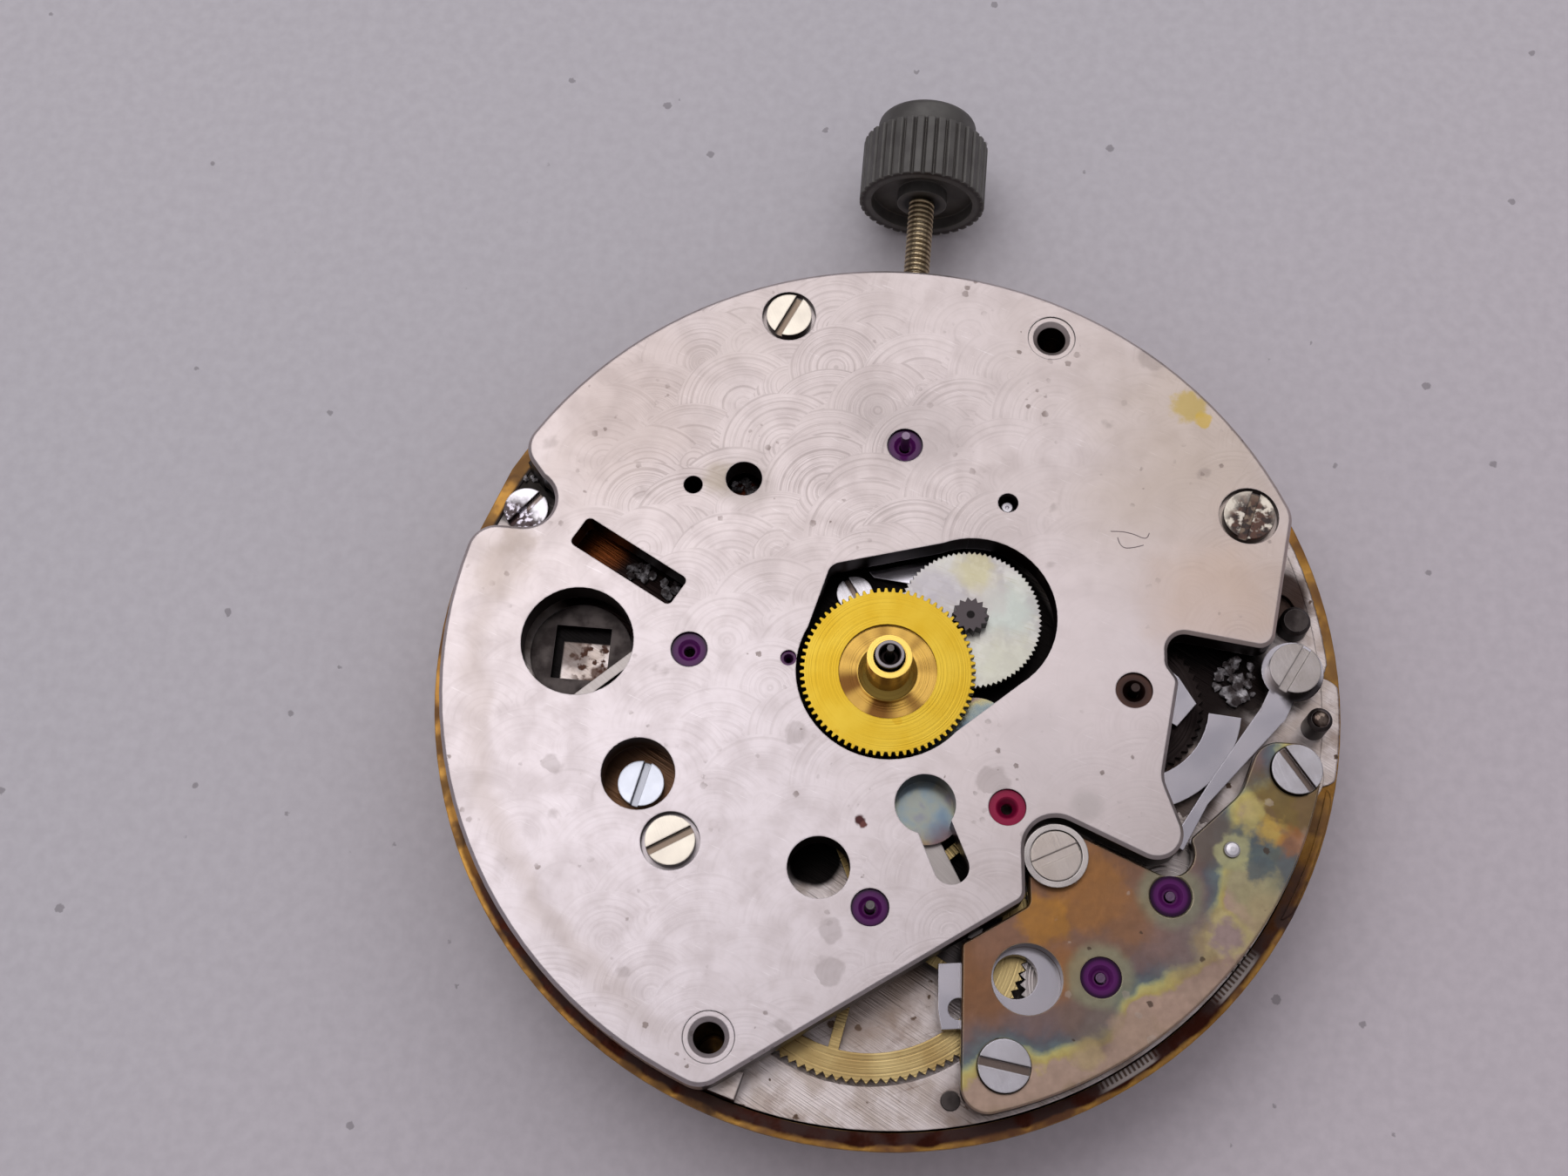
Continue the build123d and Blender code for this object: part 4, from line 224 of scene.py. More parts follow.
table_level = -0.0069
table_half = 0.6
table_mesh = bpy.data.meshes.new("work_table")
sheet = bmesh.new()
bmesh.ops.create_grid(sheet, x_segments=24, y_segments=24, size=table_half)
sheet.to_mesh(table_mesh)
sheet.free()
table = bpy.data.objects.new("work_table", table_mesh)
table.location = (0, 0, table_level)
bpy.context.scene.collection.objects.link(table)
paper, place = new_finish("matt_paper", (192, 186, 193), 0.85)
fibres = patchy(place, 0.45, softness=0.3)
slow_tone = patchy(place, 16.0, softness=0.3)
x, y, _ = apart(place)
colour = between(window(x - y, -30.0, 30.0), (219, 216, 222), (224, 215, 222))
colour = lay(colour, slow_tone * 0.16, (230, 223, 229))
colour = lay(colour, fibres * 0.24, (172, 165, 172))
paper.join(Base_Color=lay(colour, speckled(place, 0.5, 0.010) * 0.5, (110, 102, 108)))
table_mesh.materials.append(paper.material)


# Camera and light
# The camera is held above the 9 o'clock side, a few centimetres away. The
# light is a pale room and two wide soft windows, so that metal reads as metal.
eye = bpy.data.objects.new("eye", bpy.data.cameras.new("eye"))
eye.data.sensor_width = 36
eye.data.sensor_fit = "HORIZONTAL"
eye.data.lens = 48.27
eye.data.clip_start = 0.001
eye.data.clip_end = 10
eye.location = (-0.000919, -0.021194, 0.067002)
eye.rotation_euler = [math.radians(turn) for turn in (19.6672, 0.5794, 5.0793)]
bpy.context.scene.collection.objects.link(eye)
bpy.context.scene.camera = eye

for name, spot_place, size, power, light in (
        ("window_light", (-0.10, 0.10, 0.29), 0.22, 0.25, (1.0, 0.985, 1.0)),
        ("back_light", (0.07, 0.18, 0.22), 0.18, 0.09, (1.0, 0.98, 0.98))):
    lamp = bpy.data.lights.new(name, "AREA")
    lamp.shape = "SQUARE"
    lamp.size = size
    lamp.energy = power
    lamp.color = light
    holder = bpy.data.objects.new(name, lamp)
    holder.location = spot_place
    holder.rotation_euler = (-Vector(spot_place)).to_track_quat("-Z", "Y").to_euler()
    bpy.context.scene.collection.objects.link(holder)

sky = bpy.data.worlds.new("room")
sky.use_nodes = True
bpy.context.scene.world = sky
air = sky.node_tree
up = apart(put(air, "TexCoord")["Generated"])[2]
backdrop = air.nodes["Background"].inputs
join(air, backdrop["Color"], between(
    window(up, -0.1, 1.0), (126, 121, 126), (236, 232, 238)))
backdrop["Strength"].default_value = 0.50
bpy.context.scene.view_settings.view_transform = "Standard"


# Bridges
# The barrel bridge, train bridge and cocks close the back of the movement.
# They are brass, flat-grained in one direction and gilt.
def dress(finish, *names):
    """Gives a finish to nodes of the movement."""
    for name in names:
        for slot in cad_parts[name].material_slots:
            slot.material = finish.material


def level(mask, low, high):
    """A number that goes from low to high with the mask."""
    return put(mask.tree, "Mix", {0: mask, 2: low, 3: high}, data_type="FLOAT")[0]


def relief(finish, height, depth, normal):
    """Turns a height, with its depth in mm, into the finish's normal."""
    finish.join(Normal=put(finish.tree, "Bump", {
        "Height": height * (depth / 1000), "Distance": 1.0, "Normal": normal})[0])


# Edges: finds the sharp edges of a node, which handling has polished. The finishes
# lighten them, partly for that polish and partly as a painted highlight.
edges, given, give = new_group("edges", dict(Width=0.05), "Mask Normal")
rounded = put(edges, "Bevel", {"Radius": given["Width"] / 1000.0}, samples=4)[0]
facing = put(edges, "VectorMath", {0: rounded, 1: put(edges, "NewGeometry")["Normal"]},
             operation="DOT_PRODUCT")[1]
give(Mask=window(facing, 0.995, 0.80), Normal=rounded)

# Walls: finds the upright faces. The finishes darken them, partly for the grease
# and oxide there and partly as a painted shade.
walls, given, give = new_group("walls", dict(From=0.55, To=0.25), "Mask")
lift = apart(put(walls, "NewGeometry")["Normal"])[2]
give(Mask=window(lift.reckon("ABSOLUTE"), given["From"], given["To"]))

# Grain: fine parallel lines left by a stone or by brushing.
grain, given, give = new_group("grain", dict(
    Place=None, Turn=0.0, Width=0.04, Length=3.0, Seed=0.0), "Tone")
turned_place = put(grain, "VectorRotate", {"Vector": given["Place"], "Angle": given["Turn"]},
                   rotation_type="Z_AXIS")[0]
stretch = put(grain, "CombineXYZ", {0: 1.0 / given["Length"], 1: 1.0 / given["Width"],
                                    2: 1.0})[0]
give(Tone=put(grain, "TexNoise", {
    "Vector": put(grain, "VectorMath", {0: turned_place, 1: stretch}, operation="MULTIPLY")[0],
    "W": given["Seed"], "Scale": 1.0, "Detail": 3.0}, noise_dimensions="4D")[0])


def edged(place, width):
    """The edge effect, with edges rounded over a width in mm."""
    return effect(edges, place, Width=width)


def walled(place):
    """The mask of the upright faces."""
    return effect(walls, place)["Mask"]


def grained(place, turn, width, length, seed=0.0):
    """The tone of parallel lines, turned by an angle, with a width and a length in mm."""
    return effect(grain, place, Turn=turn, Width=width, Length=length, Seed=seed)["Tone"]


gilt, place = new_finish("grained_gilt", (205, 168, 96), 0.30, 0.95)
lines = grained(place, 0.9, 0.05, 6.0)
edge = edged(place, 0.07)
colour = between(patchy(place, 4.0, 0.4, 0.2, 3.0), (212, 176, 104), (190, 146, 84))
# Upright faces are darkened, partly as painted shade, and sharp edges are lightened, partly as
# painted highlight.
colour = lay(colour, walled(place), (150, 112, 62))
gilt.join(Base_Color=lay(colour, edge["Mask"], (240, 214, 150)),
          Roughness=level(lines, 0.22, 0.42))
relief(gilt, lines, 0.006, edge["Normal"])
dress(gilt, "barrel_bridge", "train_bridge", "balance_cock", "pallet_bridge")


# Steel wheels and levers
# Winding wheels, click, levers and springs are hardened steel, ground flat on
# a lap and polished. The winding wheels keep the rings of the lap.

# Spot: one soft round mark at a chosen place, with a ragged edge.
spot, given, give = new_group("spot", dict(
    Place=None, Middle=(0, 0, 0), Size=1.0, Softness=0.3, Ragged=0.4, Seed=0.0), "Mask")
ragged = put(spot, "TexNoise", {
    "Vector": given["Place"], "W": given["Seed"], "Detail": 5.0,
    "Scale": 1.1 / given["Size"]}, noise_dimensions="4D")[0]
ragged = (ragged - 0.5) * (given["Ragged"] * 3.0)
flat = put(spot, "VectorMath", {0: put(spot, "VectorMath", {
    0: given["Place"], 1: given["Middle"]}, operation="SUBTRACT")[0], 1: (1, 1, 0)},
    operation="MULTIPLY")[0]
reach = put(spot, "VectorMath", {0: flat}, operation="LENGTH")[1] / given["Size"]
give(Mask=window(reach + ragged, given["Softness"] + 1.0, 1.0 - given["Softness"]))


def spotted(place, x, y, size, softness, ragged, seed=0.0):
    """The mask of one round mark, with its middle and size in mm."""
    return effect(spot, place, Middle=(x, y, 0), Size=size, Softness=softness, Ragged=ragged,
                  Seed=seed)["Mask"]


def stains(colour, place, marks):
    """Lays marks of (x, y, size, softness, ragged, strength, colour) over a colour."""
    for number, (x, y, size, softness, ragged, strength, stain) in enumerate(marks):
        mask = spotted(place, x, y, size, softness, ragged, float(number))
        colour = lay(colour, mask * strength, stain)
    return colour


def from_point(place, x=0.0, y=0.0):
    """How far, in mm, a place lies from an upright axis."""
    flat = put(place.tree, "VectorMath", {0: place, 1: (1, 1, 0)}, operation="MULTIPLY")[0]
    return put(place.tree, "VectorMath", {0: flat, 1: (x, y, 0)}, operation="DISTANCE")[1]


def turned_lines(reach, per_mm, detail=3.0):
    """The tone of the rings that a lathe or lap leaves round an axis."""
    return put(reach.tree, "TexNoise", {"W": reach * per_mm, "Scale": 1.0, "Detail": detail},
               noise_dimensions="1D")[0]


def middle_of(node):
    """The x and y of the middle of a node, in mm."""
    low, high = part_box(node)
    return [500 * (low[axis] + high[axis]) for axis in range(2)]


polished, place = new_finish("polished_steel", (226, 222, 228), 0.16, 1.0)
smear = patchy(place, 1.4, softness=0.25, seed=5.0)
colour = stains(between(smear, (206, 203, 211), (184, 179, 185)), place, [
    (14.15, 0.75, 0.75, 0.3, 0.3, 0.95, (26, 18, 17)),
    (5.94, -5.81, 1.75, 0.05, 0.02, 0.85, (204, 196, 190)),
    (11.55, 0.35, 0.30, 0.4, 0.9, 0.85, (150, 140, 136)),
    (12.35, 0.25, 0.28, 0.4, 0.9, 0.85, (140, 130, 126)),
])
# Upright faces are darkened, partly as painted shade.
polished.join(Base_Color=lay(colour, walled(place), (64, 54, 54)),
              Roughness=level(smear, 0.12, 0.26), Normal=edged(place, 0.04)["Normal"])
dress(polished, "reset_spring", "minute_jumper", "reset_lever", "hour_hammer", "block_lever",
      "setting_lever", "yoke", "click", "click_spring", "pallet_fork", "escape_wheel",
      "barrel_arbor", "winding_pinion", "sliding_pinion", "setting_wheel", "idler_wheel",
      "sleeve", "crown_wheel_core")

dulled, place = new_finish("dulled_steel", (172, 164, 160), 0.34, 0.85)
colour = between(grained(place, 0.72, 0.05, 2.0), (150, 141, 137), (184, 177, 174))
# Upright faces are darkened, partly as painted shade.
dulled.join(Base_Color=lay(colour, walled(place), (40, 30, 28)),
            Normal=edged(place, 0.04)["Normal"])
dress(dulled, "keyhole_lever", "socket_bar")

for wheel in ("ratchet_wheel", "crown_wheel"):
    lapped, place = new_finish("lapped_" + wheel, (198, 196, 200), 0.26, 1.0)
    rings = turned_lines(from_point(place, *middle_of(wheel)), 9.0)
    lapped.join(Roughness=level(rings, 0.16, 0.36))
    relief(lapped, rings, 0.012, edged(place, 0.05)["Normal"])
    dress(lapped, wheel)


# Train wheels
# Wheels are stamped and cut from sheet brass, gilt, with the circular lines of
# their facing. The arbors and pinions on them are dark hardened steel.
def sheet_wheel(name, base, dark, arbor_reach, arbor_tone=(92, 88, 88)):
    """Sheet metal with circular facing lines and a steel arbor at its middle."""
    faced, place = new_finish("faced_" + name, base, 0.3, 1.0)
    reach = from_point(place, *middle_of(name))
    rings = turned_lines(reach, 12.0)
    colour = between(patchy(place, 1.5, 0.45, 0.2), base, dark)
    # Upright faces are darkened, partly as painted shade.
    colour = lay(colour, walled(place) * 0.6, (60, 44, 24))
    faced.join(Base_Color=lay(colour, window(reach, arbor_reach + 0.03, arbor_reach),
                              arbor_tone),
               Roughness=level(rings, 0.2, 0.4))
    relief(faced, rings, 0.008, edged(place, 0.03)["Normal"])
    dress(faced, name)


for wheel, arbor_reach in (("centre_wheel", 0.5), ("third_wheel", 0.5), ("fourth_wheel", 0.5),
                           ("barrel", 0.0), ("chronograph_runner", 0.3),
                           ("balance_wheel", 0.25)):
    sheet_wheel(wheel, (214, 184, 108), (190, 152, 78), arbor_reach)
sheet_wheel("brass_wheel", (196, 174, 122), (164, 138, 90), 0.0)
for wheel, arbor_reach, arbor_tone in (
        ("minute_counter", 0.4, (120, 104, 122)), ("second_reduction_wheel", 0.3, (104, 84, 106)),
        ("first_reduction_wheel", 0.3, (104, 84, 106))):
    sheet_wheel(wheel, (176, 168, 166), (132, 120, 112), arbor_reach, arbor_tone)
# The hour counter is coloured near-black as painted shade, for it lies deep in its opening.
sheet_wheel("hour_counter", (38, 32, 31), (16, 12, 12), 0.4, (60, 50, 48))


# Balance spring
# The balance spring is a flat spiral of drawn steel wire, blued by heat. A
# collet on the staff holds its inner end, and a stud at the cock the outer.
blued, place = new_finish("blued_steel", (52, 62, 110), 0.25, 1.0)
blued.join(Base_Color=between(patchy(place, 0.8, softness=0.2), (46, 58, 112), (82, 66, 110)))
dress(blued, "hairspring")


# Main plate
# The main plate is brass, turned with a casing flange, and gilt. Its rim has
# rusted brown and black along the joint, because water stood in the case.
rim_gilt, place = new_finish("rusted_gilt", (160, 116, 52), 0.34, 0.9)
x, y, z = apart(place)
from_axis = from_point(place)
low_side = window(x * 0.55 + y * -0.83, 9.5, 14.0)
rust = effect(patches, place, Size=1.0, Share=0.48, Softness=0.12, Seed=7.0, Detail=8.0)
crust = patchy(place, 1.5, 0.18, 0.07, 9.0, 9.0)
edge = edged(place, 0.05)
colour = between(patchy(place, 1.7, softness=0.2, seed=2.0), (136, 96, 46), (172, 130, 64))
colour = lay(colour, rust["Mask"] * level(low_side, 0.45, 0.9), (100, 56, 28))
joint_rust = (low_side.reckon("MAXIMUM", window(y, -3.0, -9.0))
              * window(rust["Tone"] * 0.5 + from_axis, 15.58, 15.44)
              * window(rust["Tone"] * 3.0 + z, -3.0, -1.6))
colour = lay(colour, joint_rust, (52, 22, 14))
# Sharp edges are lightened, partly as painted highlight.
colour = lay(colour, edge["Mask"] * 0.7, (198, 158, 88))
colour = lay(colour, crust, (62, 34, 22))
# Inside the rim at the notch the plate is painted nearly black, as the shade deep in the notch.
notch_shade = spotted(place, -12.7, 6.1, 2.9, 0.2, 0.1)
colour = lay(colour, window(from_axis, 15.02, 14.9) * notch_shade, (26, 14, 12))
# Fine teeth show where the crust has come off the flange, at two places. The teeth
# are pale bare metal; the dark stripes between them are painted shade.
teeth_round = 560.0
tooth = window((y.reckon("ARCTAN2", x) * teeth_round).reckon("SINE"), -0.5, 0.5)
tooth = tooth * window(from_axis, 15.10, 15.06)
flange_top = window(from_axis, 15.22, 15.16) * window(z, -2.5, -2.3)
for bare_x, bare_y in ((12.05, -8.95), (8.75, -12.2)):
    bare = spotted(place, bare_x, bare_y, 1.0, 0.3, 0.35) * flange_top
    colour = lay(colour, bare, between(tooth, (158, 148, 143), (84, 68, 60)))
dull = rust["Mask"].reckon("MAXIMUM", crust)
rim_gilt.join(Base_Color=colour, Metallic=level(dull, 0.95, 0.35),
              Roughness=level(dull, 0.28, 0.58))
relief(rim_gilt, rust["Tone"], 0.05, edge["Normal"])
dress(rim_gilt, "main_plate")


# Stem and crown
# The winding stem is steel with a fine thread at its outer end, yellowed by
# grease. The crown is a matt grey service crown with straight ribs.
def stitch(form, rows, closed=True):
    """Joins rows of corners by faces; a closed form also gets its two ends."""
    count = len(rows[0])
    for row, following in zip(rows, rows[1:]):
        for corner in range(count if closed else count - 1):
            after = (corner + 1) % count
            form.faces.new((row[corner], row[after], following[after], following[corner]))
    if closed:
        form.faces.new(rows[0][::-1])
        form.faces.new(rows[-1])
        bmesh.ops.recalc_face_normals(form, faces=form.faces)


def add_piece(name, form, finish, body="root"):
    """Makes a piece of a form, with its finish, body and material slot."""
    mesh = bpy.data.meshes.new(name)
    form.to_mesh(mesh)
    form.free()
    mesh.materials.append(finish.material)
    piece = bpy.data.objects.new(name, mesh)
    bpy.context.scene.collection.objects.link(piece)
    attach(piece, body)


stem_axis = -0.0043


def from_stem(place):
    """How far, in mm, a place lies from the stem's axis."""
    across = put(place.tree, "VectorMath", {0: place, 1: (1, 0, 1)}, operation="MULTIPLY")[0]
    return put(place.tree, "VectorMath", {0: across, 1: (0, 0, stem_axis * 1000)},
               operation="DISTANCE")[1]


stem_steel, place = new_finish("stem_steel", (150, 138, 118), 0.35, 0.9)
stem_steel.join(Base_Color=between(patchy(place, 0.5, softness=0.15), (160, 148, 124),
                                   (112, 94, 66)))
dress(stem_steel, "stem")

thread_start, thread_end, thread_pitch = 0.01525, 0.0214, 0.00021
thread_root, thread_tip = 0.000448, 0.000492
coil = bmesh.new()
steps = 24
turns = (thread_end - thread_start) / thread_pitch
profile = ((-0.48, thread_root), (-0.12, thread_tip), (0.12, thread_tip), (0.48, thread_root))
rows = []
for step in range(int(turns * steps) + 1):
    angle = math.tau * step / steps
    along = thread_start + thread_pitch * step / steps
    rows.append([coil.verts.new((
        radius * math.cos(angle), along + share * thread_pitch,
        stem_axis + radius * math.sin(angle))) for share, radius in profile])
stitch(coil, rows)
thread_finish, place = new_finish("thread_steel", (168, 150, 116), 0.32, 0.9)
# The roots of the thread are darkened as painted shade.
thread_finish.join(Base_Color=between(window(from_stem(place), 0.452, 0.486), (70, 50, 34),
                                      (184, 166, 134)))
add_piece("stem_thread", coil, thread_finish, "stem_crown")

crown_grey, place = new_finish("matt_crown", (98, 96, 93), 0.5, 0.3)
edge = edged(place, 0.08)
away = from_stem(place)
colour = between(patchy(place, 0.7, 0.45, 0.2, detail=8.0), (100, 98, 95), (84, 81, 79))
# The roots between the ribs are darkened as painted shade, and the sharp edges lightened, partly
# as painted highlight. On the inner face round the stem's hole the crown is painted black, as the
# shadow where the stem goes in.
colour = lay(colour, window(away, 2.36, 2.28) * window(away, 2.1, 2.25), (58, 52, 49))
colour = lay(colour, edge["Mask"] * 0.7, (134, 131, 126))
bore_shadow = window(away, 0.86, 0.6) * window(apart(place)[1], 22.9, 22.6)
crown_grey.join(Base_Color=lay(colour, bore_shadow, (12, 10, 10)), Normal=edge["Normal"])
dress(crown_grey, "crown")


# Module plate
# The plate under the dial-side plate carries the counting work. It is
# nickel-plated brass, scratched bright, with old oil in its pits. Where it lies
# deep under the openings its floor is painted black as shade.
module, place = new_finish("scratched_nickel", (206, 196, 194), 0.34, 0.9)
scratches = grained(place, 0.5, 0.05, 1.4)
cross_scratches = grained(place, -0.4, 0.06, 1.0, 4.0)
edge = edged(place, 0.05)
colour = between(patchy(place, 0.9, 0.5, 0.12, 1.0, 7.0), (186, 172, 164), (214, 203, 200))
colour = lay(colour, window(scratches, 0.6, 0.74) * 0.6, (236, 228, 226))
colour = lay(colour, window(cross_scratches, 0.6, 0.74) * 0.4, (142, 122, 110))
colour = lay(colour, patchy(place, 0.8, 0.28, 0.1, 14.0, 8.0) * 0.55, (128, 104, 90))
# Upright faces are darkened, partly as painted shade.
colour = lay(colour, walled(place), (52, 36, 30))
colour = lay(colour, speckled(place, 0.45, 0.16), (96, 78, 66))
# The near-black marks are painted shade, where the floor lies deep under the openings and under
# the wheels; the brown and orange marks are old oil and rust.
black, oil = (14, 10, 9), (46, 30, 24)
colour = stains(colour, place, [
    (1.1, 1.1, 5.0, 0.05, 0.02, 1.0, black),
    (-9.2, 3.5, 2.9, 0.15, 0.1, 1.0, (22, 11, 9)),
    (-10.3, 4.2, 0.75, 0.6, 0.5, 0.75, (128, 66, 26)),
    (-6.3, 6.5, 1.6, 0.1, 0.1, 1.0, (20, 11, 9)),
    (-5.5, 6.7, 0.4, 0.4, 0.5, 0.7, (104, 48, 26)),
    (-13.3, 6.4, 1.7, 0.3, 0.2, 0.97, black),
    (-1.95, -6.1, 0.95, 0.15, 0.1, 1.0, black),
    (2.3, -5.8, 1.8, 0.2, 0.1, 1.0, black),
    (9.3, 1.6, 2.6, 0.12, 0.15, 1.0, black),
    (11.4, 2.1, 1.7, 0.25, 0.3, 0.99, (16, 11, 10)),
    (12.4, 0.7, 0.75, 0.3, 0.5, 0.97, (26, 18, 16)),
    (9.2, -1.3, 1.3, 0.2, 0.2, 0.9, (30, 23, 21)),
    (10.7, 0.1, 1.5, 0.2, 0.3, 0.96, (24, 17, 16)),
    (12.0, -0.9, 0.8, 0.3, 0.4, 0.8, (66, 54, 50)),
    (13.3, 4.2, 1.2, 0.25, 0.25, 0.97, oil),
    (-7.92, -4.24, 1.6, 0.2, 0.1, 0.95, (104, 70, 42)),
    (4.6, -9.0, 1.6, 0.2, 0.2, 0.95, black),
    (10.0, -3.2, 1.4, 0.3, 0.3, 0.85, oil),
    (1.7, -8.7, 1.1, 0.4, 0.3, 0.85, (28, 16, 14)),
    (0.2, -10.3, 1.6, 0.6, 0.5, 0.5, (140, 116, 98)),
    (3.4, -13.9, 0.9, 0.5, 0.5, 0.6, (120, 100, 88)),
    (13.8, -1.4, 0.7, 0.4, 0.6, 0.6, (104, 88, 80)),
    (-11.0, 0.4, 0.8, 0.3, 0.5, 0.7, (60, 48, 44)),
    (-9.75, -0.75, 0.5, 0.2, 0.9, 0.9, (70, 48, 38)),
])
# Two inner walls of the square socket cast a painted black shadow on the floor.
socket_x, socket_y = -10.47, 0.15
x, y, _ = apart(place)
shaded = window(y, socket_y + 0.42, socket_y + 0.50).reckon(
    "MAXIMUM", window(x, socket_x - 0.62, socket_x - 0.70))
shaded = shaded * spotted(place, socket_x, socket_y, 1.7, 0.1, 0.0)
flakes = patchy(place, 0.3, 0.4, 0.05, 51.0, 8.0) * spotted(
    place, socket_x + 0.5, socket_y - 0.3, 0.9, 0.3, 0.3)
colour = lay(colour, flakes, (62, 40, 32))
module.join(Base_Color=lay(colour, shaded, (10, 7, 7)))
relief(module, scratches, 0.02, edge["Normal"])
dress(module, "module_plate")

sooty, place = new_finish("sooty_steel", (96, 88, 86), 0.4, 0.8)
edge = edged(place, 0.04)
colour = between(patchy(place, 0.7, softness=0.12, detail=7.0), (74, 67, 65), (40, 33, 32))
# Upright faces are darkened, partly as painted shade, and sharp edges are lightened, partly as
# painted highlight.
colour = lay(colour, walled(place), (18, 13, 12))
sooty.join(Base_Color=lay(colour, edge["Mask"], (150, 142, 140)), Normal=edge["Normal"])
dress(sooty, "socket_ring", "posts")


# Cover under the keyhole
# A thin plate of tempered steel lies under the dial-side plate, over the
# keyhole lever. Heat and damp have tarnished it blue, grey and straw.
def bands(value, stops):
    """A colour that runs through stops of (value, colour)."""
    ramp = put(value.tree, "ValToRGB", {0: value})
    points = ramp.node.color_ramp.elements
    for stop, (where, shade) in enumerate(stops):
        point = points[stop] if stop < 2 else points.new(where)
        point.position = where
        point.color = tint(*shade)
    return ramp[0]


tarnish, place = new_finish("tarnished_cover", (120, 136, 148), 0.26, 0.85)
film = effect(patches, place, Size=1.3, Seed=3.0, Detail=7.0)["Tone"]
colour = bands(film, (
    (0.30, (86, 96, 116)), (0.42, (112, 130, 142)), (0.50, (146, 154, 146)),
    (0.57, (176, 166, 120)), (0.64, (150, 128, 120)), (0.74, (104, 112, 132))))
tarnish.join(Base_Color=stains(colour, place, [
    (1.5, -4.4, 1.0, 0.4, 0.4, 0.6, (112, 132, 150)),
    (2.3, -5.9, 0.9, 0.5, 0.4, 0.9, (112, 78, 74)),
]))
dress(tarnish, "lever_cover")


# Stained bridge
# A grained steel bridge over the reduction wheels. Damp has coloured it in
# bands, straw and blue along the outer side, brown and mauve in the middle.
stained, place = new_finish("stained_bridge", (150, 110, 80), 0.32, 0.75)
outer_edge, film_slope = 14.75, 0.72
film = (outer_edge - from_point(place)) * film_slope
for x, y, reach in ((4.6, -12.6, -0.1), (12.5, -3.9, 0.1), (12.5, -6.4, 0.3)):
    film = film.reckon("SMOOTH_MIN", from_point(place, x, y) - reach, 0.7)
wander = effect(patches, place, Size=1.5, Seed=4.0, Detail=7.0)["Tone"]
film = film + (wander - 0.5) * 2.0
colour = bands(film / 5.0, (
    (0.01, (178, 152, 128)), (0.05, (192, 164, 146)), (0.125, (194, 166, 148)),
    (0.15, (202, 182, 112)), (0.185, (210, 200, 128)), (0.21, (170, 176, 140)),
    (0.235, (108, 122, 126)), (0.28, (104, 106, 114)), (0.32, (124, 106, 106)),
    (0.44, (136, 108, 96)), (0.72, (140, 100, 74))))
colour = stains(colour, place, [
    (3.6, -10.0, 1.5, 0.4, 0.4, 0.85, (140, 96, 62)),
    (4.6, -8.4, 1.2, 0.4, 0.4, 0.7, (142, 106, 88)),
    (7.0, -6.9, 1.1, 0.35, 0.9, 0.65, (172, 118, 60)),
    (5.6, -7.8, 0.8, 0.35, 0.9, 0.8, (180, 126, 54)),
    (8.4, -7.6, 0.9, 0.3, 0.7, 0.6, (160, 112, 72)),
    (6.1, -9.5, 0.9, 0.4, 0.5, 0.7, (166, 110, 56)),
    (10.3, -8.0, 1.3, 0.4, 0.4, 0.7, (150, 122, 114)),
    (7.4, -10.9, 1.0, 0.4, 0.4, 0.7, (136, 114, 102)),
    (7.53, -9.51, 1.08, 0.2, 0.15, 0.6, (160, 164, 132)),
    (9.67, -6.68, 1.05, 0.2, 0.15, 0.6, (152, 158, 130)),
    (13.6, -3.0, 1.3, 0.25, 0.5, 0.9, (124, 100, 58)),
    (11.0, -4.7, 0.9, 0.4, 0.4, 0.9, (110, 102, 96)),
    (13.0, -5.2, 0.95, 0.25, 0.6, 0.9, (92, 108, 114)),
    (12.2, -4.5, 0.6, 0.3, 0.6, 0.85, (94, 106, 112)),
    (12.4, -6.4, 0.9, 0.35, 0.8, 0.8, (182, 176, 134)),
    (11.65, -5.1, 0.62, 0.2, 0.5, 0.85, (190, 188, 142)),
    (12.55, -5.5, 0.45, 0.3, 0.8, 0.85, (96, 110, 116)),
    (12.25, -3.75, 0.5, 0.5, 0.9, 0.75, (214, 198, 122)),
    (12.9, -4.25, 0.42, 0.5, 0.9, 0.8, (216, 180, 88)),
    (13.6, -4.55, 0.45, 0.5, 0.8, 0.6, (180, 112, 60)),
    (12.7, -7.3, 0.8, 0.4, 0.5, 0.8, (192, 174, 134)),
    (11.55, -7.85, 0.78, 0.25, 0.7, 0.9, (204, 188, 134)),
    (11.55, -7.85, 0.52, 0.3, 0.7, 0.95, (174, 150, 148)),
    (9.8, -10.4, 0.62, 0.3, 0.5, 0.8, (198, 168, 150)),
    (8.5, -11.1, 0.62, 0.3, 0.5, 0.8, (192, 164, 144)),
    (7.2, -12.0, 0.5, 0.3, 0.5, 0.6, (200, 178, 128)),
])
edge = edged(place, 0.06)
colour = lay(colour, speckled(place, 0.45, 0.12, 2.0) * 0.4, (200, 184, 172))
colour = lay(colour, speckled(place, 0.4, 0.05, 6.0) * 0.8, (72, 56, 46))
film_grain = patchy(place, 0.3, softness=0.25, seed=19.0, detail=6.0)
colour = lay(colour, level(film_grain, 0.10, 0.30), (84, 68, 58))
# Upright faces are darkened, partly as painted shade, and sharp edges are lightened, partly as
# painted highlight.
colour = lay(colour, walled(place), (60, 38, 26))
stained.join(Base_Color=lay(colour, edge["Mask"], (214, 196, 164)))
relief(stained, wander, 0.03, edge["Normal"])
dress(stained, "stained_bridge")


# Dial-side plate
# The dial-side plate is nickel-plated brass. A turning abrasive peg has left
# rows of overlapping rings on it, which age and damp have dulled in places.
# Towards the lower left a painted pool of light makes the plate paler and
# washes the rings out.

